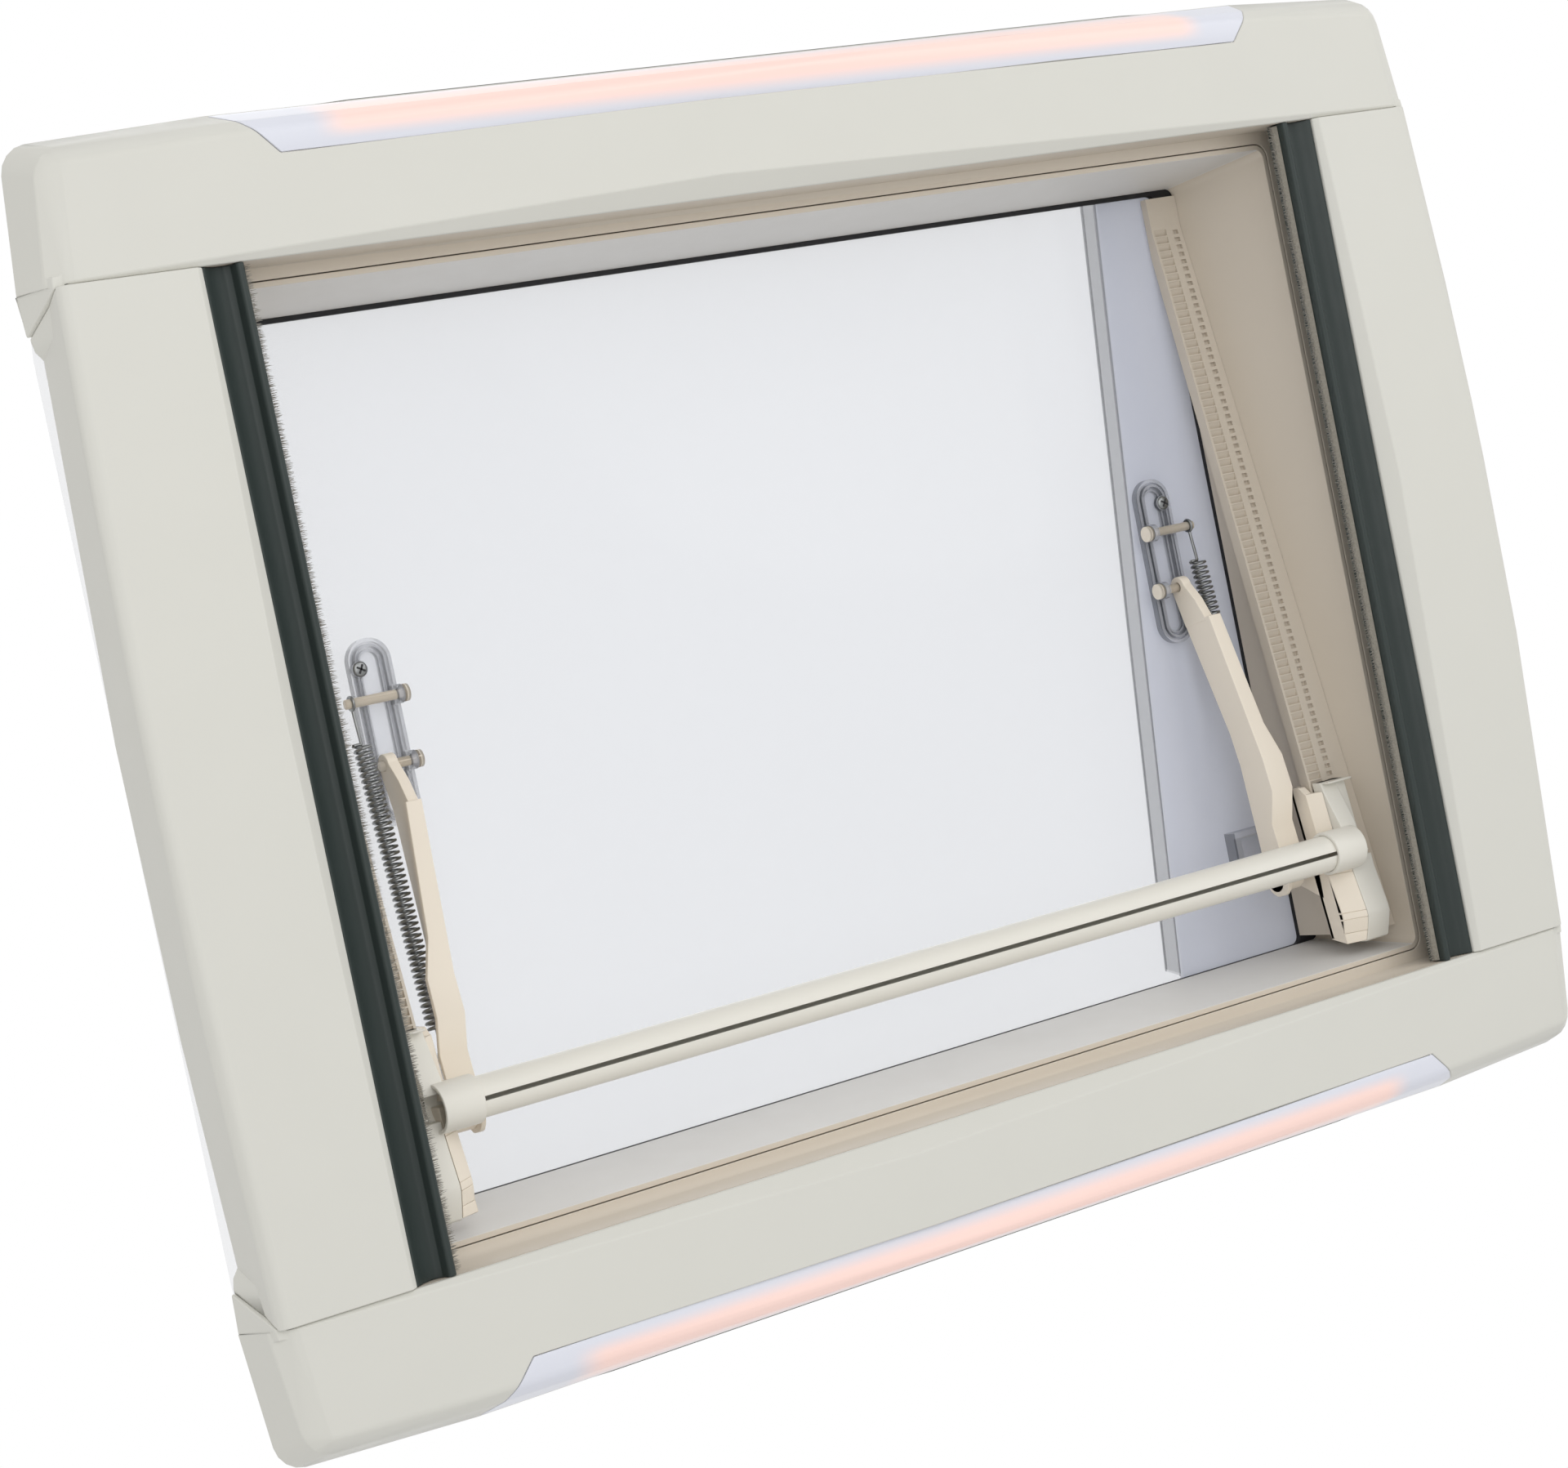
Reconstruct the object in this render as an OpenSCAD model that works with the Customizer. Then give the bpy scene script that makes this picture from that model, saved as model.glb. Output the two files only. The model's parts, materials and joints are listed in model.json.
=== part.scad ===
// Caravan roof hatch with a bar handle, seen closed.
// +Z points up to the sky, +Y to the hinge side, and the room is below.
// Z = 0 is the lowest point of the covers that the room sees.

/* [Roof] */
// Length of the roof cut-out
cutout_x = 700; // [700:1:706]
// Width of the roof cut-out
cutout_y = 500; // [500:1:506]
// Thickness of the caravan roof
roof_t = 30; // [27:1:33]

/* [Covers] */
// How far the covers reach past the cut-out at each end, along X
cover_reach_x = 79; // [76:0.5:84]
// How far the covers reach past the cut-out at each side, along Y
cover_reach_y = 71.5; // [69:0.5:76]
// Depth of the covers below the ceiling
cover_h = 32; // [30:1:34]
// Wall thickness of the moulded covers
cover_t = 2.5; // [2:0.1:3]
// How far the covers' faces bulge towards the room
crown = 7; // [5:0.5:7.5]
// How far the outer walls of the side covers bow outwards in plan
side_bow = 6.5; // [3:0.5:8]
// How far the ceiling plate stays inside the covers, along X
plate_inset_x = 18; // [16:0.5:24]
// How far the ceiling plate stays inside the covers, along Y
plate_inset_y = 28; // [26.5:0.5:34]
// Distance of the ceiling plate's screws from its edges, along X
screw_inset_x = 26; // [16:0.5:34]
// Distance of the ceiling plate's screws from its edges, along Y
screw_inset_y = 23.5; // [15:0.5:30]
// Diameter of the ceiling plate's screw holes
screw_d = 5; // [4:0.5:6]

/* [Opening] */
// How far the end risers stand inside the cut-out
riser_inset_x = 4; // [3:0.5:7]
// How far the front and back risers stand inside the cut-out
riser_inset_y = 6; // [5:0.5:8]
// Width of the ledge between the end risers and the liner
ledge_x = 15; // [12:0.5:18]
// Width of the ledge between the front and back risers and the liner
ledge_y = 10; // [8:0.5:12]
// How far the liner's end walls lean inwards
lean_x = 15; // [12:0.5:16]
// How far the liner's front and back walls lean inwards
lean_y = 7.5; // [6:0.5:9]
// How far the gasket covers the opening at each end
gasket_reach = 13; // [11:0.5:15]
// Rise of the liner's lower rim above the ceiling
rim_rise = 6; // [4:1:8]
// Wall thickness of the liner and of the inner frame
wall = 3; // [2:0.1:3.5]

/* [Roof side] */
// Rise of the inner pane above the roof
pane_rise = 48; // [46:0.5:54]
// How far the dome and the roof flange reach past the cut-out, along X
dome_reach_x = 43; // [38:0.5:48]
// How far the roof flange reaches past the cut-out, along Y
flange_reach_y = 45; // [43:0.5:50]
// Thickness of the roof flange
flange_t = 3.5; // [3:0.1:4.5]
// How far the dome reaches past the cut-out at the handle side
dome_reach_y = 35; // [33:0.5:38]
// Rise of the dome above the inner pane
dome_h = 42; // [34:1:60]
// Thickness of the outer acrylic shell
shell_t = 3.5; // [3:0.1:4.5]
// Thickness of the inner acrylic pane
pane_t = 3; // [2.5:0.1:4]
// Rise of the inner pane's raised field
field_h = 12; // [8:1:14]
// How far the hinge axis lies past the cut-out
hinge_reach_y = 26; // [25:0.5:27]
// How much shorter than the cut-out the hinge is
hinge_short = 20; // [10:5:100]

/* [Handle] */
// Diameter of the handle bar
bar_d = 21; // [19:0.5:21]
// Wall thickness of the handle bar
bar_t = 2; // [1.5:0.1:2.5]
// Height of the bar's axis above the ceiling
bar_rise = 11; // [10:0.5:11]
// Distance of the bar's axis from the middle, towards the handle side
bar_y = 170; // [166:1:170]
// Wall thickness of the bar's collars
collar_t = 2; // [1.5:0.1:2.1]
// Thickness of a carriage, along X
carriage_w = 28; // [26:0.5:28]

/* [Rack] */
// Rise of the rack towards the hinge, in degrees
rack_slope = 7.2; // [7:0.1:7.3]
// Room between the rack's ends and the liner
rack_room = 4.5; // [4:0.5:8]
// How far the rack stands in from the liner's top
rack_reach = 22; // [21:0.5:22.5]
// Thickness of the rack's rail
rail_t = 7; // [6:0.5:8]

/* [Arm and spring] */
// Distance of the arm's pin from the middle, towards the handle side
arm_pin_y = 4; // [2:1:6]
// Drop of the pins below the inner pane
pin_drop = 10; // [10:0.5:11]
// Distance of the arm's lower pivot from the bar's axis
arm_end_back = 12; // [10:1:13]
// Drop of the arm's lower pivot below its pin
arm_drop = 26; // [24:0.5:27]
// Distance of the spring's pin from the middle, towards the hinge
spring_pin_y = 30; // [28:1:34]
// Diameter of the pins
pin_d = 5; // [4:0.2:6]
// Running clearance round a pin
run_gap = 0.05; // [0.03:0.01:0.1]
// Coil diameter of the lifting spring
spring_d = 8.4; // [7:0.2:8.6]
// Wire diameter of the lifting spring
wire_d = 1.4; // [1:0.1:1.8]
// Distance of the spring's lower hook from the arm's lower pivot
anchor_back = 30; // [25:1:36]

/* [Hidden] */

// Colours
cream = [0.84, 0.83, 0.79];
shade = [0.80, 0.76, 0.70];
dark = [0.30, 0.35, 0.34];
acrylic = [0.80, 0.84, 0.90, 0.45];
black = [0.05, 0.05, 0.05];
metal = [0.65, 0.66, 0.66];
lamp = [0.99, 0.88, 0.85];

// Clearances: between seated pieces, beside a slider, and a cutter's overshoot
seat_gap = 0.3;
slide_gap = 1;
over = 1;
thin = 0.05;

// Heights of the stack
roof_z = cover_h + roof_t;
plate_z = cover_h - wall;
rim_z = cover_h + rim_rise;
pane_z = roof_z + pane_rise;
pin_z = pane_z - pin_drop;
bar_z = cover_h + bar_rise;
liner_top = pane_z - 4;
deck_top = liner_top - seat_gap;
deck_t = 4;
hinge_z = pane_z + pane_t;

// Plan sizes, from the roof cut-out
cover_x = cutout_x + 2 * cover_reach_x;
cover_y = cutout_y + 2 * cover_reach_y;
plate_x = cover_x - 2 * plate_inset_x;
plate_y = cover_y - 2 * plate_inset_y;
screw_x = plate_x - 2 * screw_inset_x;
screw_y = plate_y - 2 * screw_inset_y;
win_x = cutout_x - 2 * riser_inset_x;
win_y = cutout_y - 2 * riser_inset_y;
rim_x = win_x - 2 * ledge_x;
rim_y = win_y - 2 * ledge_y;
top_x = rim_x - 2 * lean_x;
light_y = rim_y - 2 * lean_y;
light_x = top_x - 2 * gasket_reach;
dome_x = cutout_x + 2 * dome_reach_x;
flange_y = cutout_y + 2 * flange_reach_y;
hinge_y = cutout_y / 2 + hinge_reach_y;
hinge_x = cutout_x - hinge_short;
half_x = cover_x / 2;
half_y = cover_y / 2;
in_x = win_x / 2;
in_y = win_y / 2;

// Places across the rack, the carriage and the arm, along X
rack_half = light_y / 2 - rack_room;
rack_in = top_x / 2 - rack_reach;
wedge_in = rack_in + 8;
carriage_in = rack_in - 6;
carriage_out = carriage_in + carriage_w;
upper_out = carriage_out - 7;
seam_x = rack_in + 9;
lane_out = carriage_in - 6;
lane_in = lane_out - 12;
bracket_x = rack_in - 37;
arm_end_y = bar_y + arm_end_back;

module at_side(s) { if (s > 0) children(); else mirror([1, 0, 0]) children(); }
module at_end(s) { if (s > 0) children(); else mirror([0, 1, 0]) children(); }

// Prism along X of an outline given as (Y, Z) points
module along_x(x0, x1) {
    translate([x0, 0, 0]) rotate([90, 0, 90]) linear_extrude(x1 - x0) children();
}

// Prism along Y of an outline given as (X, Z) points
module along_y(y0, y1) {
    translate([0, y1, 0]) rotate([90, 0, 0]) linear_extrude(y1 - y0) children();
}

// Cylinder along X about the axis (y, z)
module rod(x0, x1, y, z, r) {
    translate([x0, y, z]) rotate([0, 90, 0]) cylinder(r = r, h = x1 - x0, $fn = 48);
}

module block(x0, x1, y0, y1, z0, z1) {
    translate([x0, y0, z0]) cube([x1 - x0, y1 - y0, z1 - z0]);
}

module rounded(x, y, r) {
    for (sx = [-1, 1]) for (sy = [-1, 1])
        translate([sx * (x / 2 - r), sy * (y / 2 - r)]) circle(r = r, $fn = 32);
    square([x - 2 * r, y], center = true);
    square([x, y - 2 * r], center = true);
}

// Straight ring between two rounded rectangles
module ring(x, y, r, ix, iy, ir, z0, z1) {
    translate([0, 0, z0]) linear_extrude(z1 - z0) difference() {
        rounded(x, y, r);
        rounded(ix, iy, ir);
    }
}

// Points of an arc of radius r about (a, b), from angle p to angle q
function arc(a, b, r, p, q, n = 4) =
    [for (i = [0:n]) [a + r * cos(p + (q - p) * i / n), b + r * sin(p + (q - p) * i / n)]];

// Covers: a crowned face, a bevel at the opening and leaning outer walls
bevel_h = 8;
bevel_slope = 0.75;
edge_r = 7;
end_lean = 11;
side_lean = 2;
side_rise = 1.5;
end_in = 20;
stations = 7;
corner_r = 14;
lip_z = bevel_h + cover_t;
tongue = 19;

// Height of an end cover's face at the share t of its half length
function end_face(t) = crown * t * t;
// Height of a side cover's face at the share t of its half length
function side_face(t) = side_rise + (crown - 3) * t * t;

// Cross-section of a cover with its face at height f, from the opening's edge to
// the outer edge, with its walls moved in by w
function section(inner, outer, f, lean, w) = let (
        open_z = cover_h + (w > 0 ? over : 0),
        bevel = (bevel_h - f) / bevel_slope + w * 0.6)
    concat([[inner + w, open_z], [inner + w, bevel_h + w * 0.6], [inner + bevel, f + w]],
           arc(outer - lean - edge_r, f + edge_r, edge_r - w, -90, -18),
           [[outer - w, open_z]]);

// Plan of one end of an end cover, out to (x, y)
function end_plan(x, y, w) = concat(
    [[half_x - 60, in_y + w], [x, in_y + w]],
    arc(x - corner_r, y - corner_r, corner_r, 0, 90),
    [[half_x - 60, y]]);

// Solid form of an end cover, with its walls moved in by w
module end_form(w) {
    reach = half_x - end_in - w;
    top = cover_h + (w > 0 ? over : 0);
    hull() {
        for (i = [-stations:stations]) let (t = i / stations)
            along_x(t * reach - thin, t * reach)
                polygon(section(in_y, half_y - 2 * t * t, end_face(t), end_lean, w));
        for (s = [-1, 1]) at_side(s) {
            translate([0, 0, crown + edge_r]) linear_extrude(thin)
                polygon(end_plan(half_x - 7 - w, half_y - 9 - w, w));
            translate([0, 0, top - thin]) linear_extrude(thin)
                polygon(end_plan(half_x - w, half_y - 2 - w, w));
        }
    }
}

// Tongue that an end cover sends along the outer wall, past the end of a side cover
module tongue_form(w) {
    top = cover_h + (w > 0 ? over : 0);
    hull() {
        translate([0, 0, top - thin]) linear_extrude(thin) polygon([
            [half_x - 30, in_y - tongue + w], [half_x - 1 - w, in_y - tongue + w],
            [half_x - w, in_y + 2 * cover_t], [half_x - 30, in_y + 2 * cover_t]]);
        translate([0, 0, crown + 3 + w]) linear_extrude(thin) polygon([
            [half_x - 30, in_y - 1], [half_x - 10 - w, in_y - 1],
            [half_x - 10 - w, in_y + 2 * cover_t], [half_x - 30, in_y + 2 * cover_t]]);
    }
}

// Zone that the light lens takes from an end cover, widened by g
lens_x0 = half_x - 133;
lens_x1 = lens_x0 + 26;
lens_drop = 28;
lens_y0 = half_y - 28.5;
module lens_zone(g) {
    translate([0, 0, -over]) linear_extrude(lens_drop + over + g) polygon([
        [-lens_x0 - g, lens_y0 - g], [lens_x0 + g, lens_y0 - g],
        [lens_x1 + g, half_y + over], [-lens_x1 - g, half_y + over]]);
}

// Room for the ceiling plate and the riser behind the covers
module plate_zone() {
    g = seat_gap;
    riser = wall + g;
    block(-plate_x / 2 - g, plate_x / 2 + g, -plate_y / 2 - g, plate_y / 2 + g,
          plate_z - g, cover_h + over);
    block(-in_x - riser, in_x + riser, -in_y - riser, in_y + riser,
          lip_z, cover_h + over);
}

module end_cover() {
    color(cream) difference() {
        union() {
            end_form(0);
            for (s = [-1, 1]) at_side(s) tongue_form(0);
        }
        end_form(cover_t);
        for (s = [-1, 1]) at_side(s) tongue_form(cover_t);
        lens_zone(seat_gap);
        plate_zone();
    }
}

// Solid form of a side cover, with its walls moved in by w
module side_form(w) {
    reach = in_y - seat_gap - w;
    hull() for (i = [-stations:stations]) let (t = i / stations)
        along_y(t * reach - thin, t * reach)
            polygon(section(in_x, half_x - 1.5 - side_bow * t * t, side_face(t), side_lean, w));
}

module side_cover() {
    color(cream) difference() {
        side_form(0);
        side_form(cover_t);
        plate_zone();
        for (s = [-1, 1]) at_end(s) tongue_room();
    }
}

// Room in a side cover for an end cover's tongue
module tongue_room() {
    g = seat_gap;
    hull() {
        translate([0, 0, cover_h + over]) linear_extrude(thin) polygon([
            [half_x - 30 - g, in_y - tongue - g], [half_x + over, in_y - tongue - g],
            [half_x + over, in_y + over], [half_x - 30 - g, in_y + over]]);
        translate([0, 0, crown + 3 - g]) linear_extrude(thin) polygon([
            [half_x - 30 - g, in_y - 1 - g], [half_x + over, in_y - 1 - g],
            [half_x + over, in_y + over], [half_x - 30 - g, in_y + over]]);
    }
}

// The lens wraps over the outer edge of an end cover
module lens() {
    color(lamp) difference() {
        intersection() {
            end_form(0);
            lens_zone(0);
        }
        end_form(cover_t);
    }
}

// Lamp strip on the ceiling plate, behind the lens
led_x = 2 * lens_x0 - 12;
led_y = lens_y0 - 8;
module led_strip() {
    color(lamp) along_x(-led_x / 2, led_x / 2) polygon([
        [led_y - 5, plate_z - seat_gap], [led_y - 5, plate_z - 3], [led_y - 3, plate_z - 4],
        [led_y + 3, plate_z - 4], [led_y + 5, plate_z - 3], [led_y + 5, plate_z - seat_gap]]);
}

// Ceiling plate with the riser round the opening and the flange under the roof frame
frame_top = rim_z + wall;
riser_r = 0.8;
liner_r = 5;
module inner_frame() {
    riser_x = win_x + 2 * wall;
    riser_y = win_y + 2 * wall;
    color(shade) difference() {
        union() {
            ring(plate_x, plate_y, 12, win_x, win_y, riser_r, plate_z, cover_h);
            ring(riser_x, riser_y, riser_r + wall, win_x, win_y, riser_r, lip_z + seat_gap, frame_top);
            ring(riser_x, riser_y, riser_r + wall, rim_x + 2 * wall + 1, rim_y + 2 * wall + 1,
                 liner_r + wall, rim_z, frame_top);
        }
        for (sx = [-1, 1]) for (sy = [-1, 1])
            translate([sx * screw_x / 2, sy * screw_y / 2, plate_z - over])
                cylinder(d = screw_d, h = wall + 2 * over, $fn = 32);
        for (sy = [-1, 1])
            translate([0, sy * screw_y / 2, plate_z - over])
                cylinder(d = screw_d, h = wall + 2 * over, $fn = 32);
    }
}

// Liner: its wall leans in towards the sky
function lean_at(low, high, z) = low + (high - low) * (z - rim_z) / (liner_top - rim_z);
module liner_form(w, z0, z1) {
    hull() for (z = [z0, z1 - thin])
        translate([0, 0, z]) linear_extrude(thin)
            rounded(lean_at(rim_x, top_x, z) + 2 * w, lean_at(rim_y, light_y, z) + 2 * w, liner_r + w);
}

module opening_liner() {
    color(shade) difference() {
        liner_form(wall, rim_z, liner_top);
        liner_form(0, rim_z - over, liner_top + over);
    }
}

// Roof frame: flange on the roof, curb through the cut-out and a deck under the gasket
curb_gap = 3;
curb_t = 4;
module roof_frame() {
    curb_x = cutout_x - 2 * curb_gap;
    curb_y = cutout_y - 2 * curb_gap;
    hole_x = top_x + 2 * wall + 2;
    hole_y = light_y + 2 * wall + 2;
    color(shade) {
        ring(dome_x, flange_y, dome_r, curb_x - 1, curb_y - 1, 12, roof_z, roof_z + flange_t);
        ring(curb_x, curb_y, 14, curb_x - 2 * curb_t, curb_y - 2 * curb_t, 10,
             frame_top + seat_gap, deck_top);
        ring(curb_x - 1, curb_y - 1, 12, hole_x, hole_y, liner_r + wall, deck_top - deck_t, deck_top);
    }
}

module dome_gasket() {
    color(black) ring(top_x + 24, light_y + 24, 16, light_x, light_y, liner_r,
                      liner_top, pane_z - seat_gap);
}

// Hinge: a bead on the dome turns in a rail that is open towards the dome
bead_r = 4;
rail_r = 7;
mouth_low = 200;
mouth_high = 112;
module hinge_rail() {
    foot_z = roof_z + flange_t + seat_gap;
    color(metal) along_x(-hinge_x / 2, hinge_x / 2) difference() {
        union() {
            translate([hinge_y, hinge_z]) circle(r = rail_r, $fn = 48);
            translate([hinge_y + 1, foot_z]) square([3, hinge_z - foot_z]);
            translate([hinge_y - 12, foot_z]) square([26, 3]);
        }
        translate([hinge_y, hinge_z]) circle(r = bead_r + seat_gap, $fn = 48);
        translate([hinge_y, hinge_z]) polygon([[0, 0],
            [20 * cos(mouth_high), 20 * sin(mouth_high)], [20 * cos(156), 20 * sin(156)],
            [20 * cos(mouth_low), 20 * sin(mouth_low)]]);
    }
}

hinge_reach = 8.2;
hinge_web = 2.4;
hinge_plate = 3;
module hinge_profile() {
    plate_out = hinge_y - hinge_reach;
    color(metal) along_x(-hinge_x / 2, hinge_x / 2) {
        translate([hinge_y, hinge_z]) circle(r = bead_r, $fn = 48);
        translate([plate_out - 1, hinge_z - hinge_web / 2]) square([hinge_reach + 1, hinge_web]);
        translate([plate_out - hinge_plate, hinge_z - 11]) square([hinge_plate, 18]);
    }
}

// Dome: an outer shell over an inner pane with a raised field
dome_back = hinge_y - hinge_reach - hinge_plate - seat_gap;
dome_front = -cutout_y / 2 - dome_reach_y;
dome_y = dome_back - dome_front;
dome_mid = (dome_back + dome_front) / 2;
dome_r = 40;
skirt_z = pane_z - 10;
edge_z = hinge_z + 7;
// Steps of the shell's rise, each as the share of the rise and the inset in plan
dome_steps = [[0.5, 24], [0.84, 76], [1, 150]];
module dome_form(w) {
    foot = skirt_z - (w > 0 ? over : 0);
    translate([0, dome_mid, 0]) hull() {
        translate([0, 0, foot]) linear_extrude(edge_z - w - foot)
            rounded(dome_x - 2 * w, dome_y - 2 * w, dome_r - w);
        for (step = dome_steps)
            translate([0, 0, edge_z + (dome_h - 7) * step[0] - w - thin]) linear_extrude(thin)
                rounded(dome_x - 2 * w - 2 * step[1], dome_y - 2 * w - 2 * step[1], dome_r - w);
    }
}

module dome_shell() {
    color(acrylic) difference() {
        dome_form(0);
        dome_form(shell_t);
    }
}

// Outline of the pane's raised field: back half length, front half length, half width
field_low = [light_x / 2 - 41, light_x / 2 - 90, light_y / 2 - 2.5];
field_high = [field_low[0] - 14, field_low[1] - 16, field_low[2] - 11];
module field_plan(f, g) {
    polygon([[-f[0] - g, f[2] + g], [f[0] + g, f[2] + g], [f[1] + g, -f[2] - g], [-f[1] - g, -f[2] - g]]);
}

module field_form(g, z0, z1) {
    hull() {
        translate([0, 0, z0]) linear_extrude(thin) field_plan(field_low, g);
        translate([0, 0, z1]) linear_extrude(thin) field_plan(field_high, g);
    }
}

module inner_pane() {
    inset = 2 * (shell_t + slide_gap);
    color(acrylic) difference() {
        union() {
            translate([0, dome_mid, pane_z]) linear_extrude(pane_t)
                rounded(dome_x - inset, dome_y - inset, dome_r - inset / 2);
            field_form(pane_t / 2, pane_z + thin, pane_z + field_h + pane_t);
        }
        field_form(0, pane_z - thin, pane_z + field_h);
        translate([0, 0, pane_z - over]) linear_extrude(over + thin) field_plan(field_low, 0);
    }
}

// Bracket under the pane that holds the two pins
bracket_w = 24;
bracket_y0 = -arm_pin_y - 32;
bracket_y1 = spring_pin_y + 31;
lug_in = bracket_x - bracket_w / 2 + 1;
lug_t = 3.5;
lug_r = 5;
module stadium(y0, y1, w) {
    translate([0, y0 + w / 2]) circle(d = w, $fn = 48);
    translate([0, y1 - w / 2]) circle(d = w, $fn = 48);
    translate([-w / 2, y0 + w / 2]) square([w, y1 - y0 - w]);
}

module bracket() {
    top = pane_z - seat_gap;
    color(acrylic) difference() {
        union() {
            translate([bracket_x, 0, top - 2]) linear_extrude(2)
                stadium(bracket_y0, bracket_y1, bracket_w);
            translate([bracket_x, 0, top - 5]) linear_extrude(5) difference() {
                stadium(bracket_y0, bracket_y1, bracket_w);
                stadium(bracket_y0 + 2, bracket_y1 - 2, bracket_w - 4);
            }
            for (y = [-arm_pin_y, spring_pin_y]) {
                rod(lug_in, lug_in + lug_t, y, pin_z, lug_r);
                block(lug_in, lug_in + lug_t, y - lug_r, y + lug_r, pin_z, top);
            }
        }
        for (y = [-arm_pin_y, spring_pin_y])
            rod(lug_in - over, lug_in + lug_t + over, y, pin_z, pin_d / 2 + run_gap);
    }
}

pin_head_t = 3;
tongue_x0 = bracket_x + 1;
tongue_x1 = tongue_x0 + 6;
spring_x = lane_out - 7.4;
module pin(y, x1) {
    color(cream) {
        rod(lug_in - 0.1, x1, y, pin_z, pin_d / 2);
        rod(lug_in - seat_gap - pin_head_t, lug_in - 0.1, y, pin_z, pin_d / 2 + 2);
    }
}

// Lock tab under the pane, near the handle end
tab_x0 = rack_in - 30;
tab_x1 = rack_in - 3;
tab_y0 = -bar_y;
tab_y1 = tab_y0 + 18;
tab_h = 10;
tab_wall = 4;
module lock_tab() {
    top = pane_z - seat_gap;
    color(acrylic) difference() {
        block(tab_x0, tab_x1, tab_y0, tab_y1, top - tab_h, top);
        block(tab_x0 + tab_wall, tab_x1 - tab_wall, tab_y0 - over, tab_y1 - tab_wall,
              top - tab_h - over, top - 3);
    }
}

// Rack: a wedge on the liner's wall with a rail that overhangs inwards
rack_tan = tan(rack_slope);
rack_zero = liner_top - rack_half * rack_tan;
rack_end_z = liner_top - 2.3;
// Height of the rack's room side at y
function rack_z(y) = rack_zero + rack_tan * y;
module rack() {
    flat_y = (rack_end_z - rack_zero) / rack_tan;
    low = [[-rack_half, rack_z(-rack_half)], [flat_y, rack_end_z], [rack_half, rack_end_z]];
    lean = atan((rim_x - top_x) / 2 / (liner_top - rim_z));
    color(cream) difference() {
        union() {
            along_x(wedge_in, rim_x / 2) polygon(concat(low,
                [[rack_half, deck_top], [-rack_half, deck_top]]));
            along_x(rack_in, wedge_in + 0.5) polygon(concat(low,
                [[rack_half, pane_z - 1.5], [(pane_z - 1.5 - rack_zero - rail_t) / rack_tan, pane_z - 1.5],
                 [-rack_half, rack_z(-rack_half) + rail_t]]));
        }
        translate([rim_x / 2 - seat_gap, 0, rim_z]) rotate([0, -lean, 0])
            translate([0, -rack_half - over, -20]) cube([40, 2 * (rack_half + over), 120]);
    }
}

// Blind guide: a dark channel with a slot for the blind's edge
guide_in = in_x - 22;
module blind_guide() {
    out = in_x - seat_gap;
    color(dark) along_y(-in_y + seat_gap, in_y - seat_gap) polygon([
        [out, bevel_h], [out, rim_z - seat_gap], [out - 3, rim_z - seat_gap], [out - 3, 33],
        [guide_in, 33], [guide_in, 28], [out - 8, 28], [out - 8, 20], [guide_in, 20],
        [guide_in, 12], [guide_in + 2, 9.5], [guide_in + 10, 9.5], [guide_in + 12, 12],
        [out - 8, 12], [out - 7, 9], [out - 4, bevel_h]]);
}

module brush() {
    color(dark) along_y(-in_y + 1, in_y - 1) polygon([
        [guide_in - seat_gap, 13], [guide_in - seat_gap, 19], [guide_in - 2, 17.5],
        [guide_in - 2.6, 16], [guide_in - 2, 14.5]]);
}

// Arm: a jogged tongue at the pin, then an angle with a web on the room side
arm_run = arm_end_y - arm_pin_y;
arm_len = sqrt(arm_run * arm_run + arm_drop * arm_drop);
arm_slope = atan(arm_drop / arm_run);
cheek_t = 2.8;
web_n = -11.5;
web_t = 3;
arm_tip_r = 8;

// Frame of the arm: its own +Y runs from the pin to the lower pivot, +Z to the sky
module arm_frame() {
    translate([0, -arm_pin_y, pin_z]) rotate([arm_slope, 0, 0]) mirror([0, 1, 0]) children();
}

module arm() {
    color(cream) arm_frame() difference() {
        union() {
            rod(tongue_x0, tongue_x1, 0, 0, 6);
            along_x(tongue_x0, tongue_x1)
                polygon([[0, -6], [0, 6], [34, 2], [34, web_n], [14, web_n]]);
            translate([0, 0, web_n]) linear_extrude(web_t) polygon([
                [tongue_x0, 12], [tongue_x1, 12], [tongue_x1 + 1, 22], [lane_out, 40],
                [lane_out, arm_len], [lane_in, arm_len], [lane_in, 46], [tongue_x0, 34]]);
            along_x(lane_out - cheek_t, lane_out)
                polygon([[40, web_n], [40, -4], [60, 5], [arm_len, arm_tip_r], [arm_len, web_n]]);
            along_x(lane_out - cheek_t, lane_out)
                translate([arm_len, -1.75]) circle(r = 9.75, $fn = 48);
            rod(lane_out - 5, lane_out, arm_len, 0, arm_tip_r - 1);
            rod(spring_x - 2, lane_out, anchor_u, 0, pin_d / 2 - 0.5);
        }
        rod(lane_out - 6, lane_out + over, arm_len, 0, pin_d / 2 + run_gap);
        rod(tongue_x0 - over, tongue_x1 + over, 0, 0, pin_d / 2 + run_gap);
    }
}

// Lifting spring, hooked from the upper pin to the arm
anchor_u = arm_len - anchor_back;
anchor_y = -arm_pin_y - anchor_u * cos(arm_slope);
anchor_z = pin_z - anchor_u * sin(arm_slope);
spring_run = spring_pin_y - anchor_y;
spring_fall = pin_z - anchor_z;
spring_len = sqrt(spring_run * spring_run + spring_fall * spring_fall);
coil_start = 21;
coil_end = spring_len - 16;
coil_pitch = 3;
module spring_eye(s, r) {
    translate([spring_x, s, 0]) rotate([0, 90, 0])
        rotate_extrude($fn = 48) translate([r + run_gap + wire_d / 2, 0]) circle(d = wire_d, $fn = 16);
}

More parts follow.
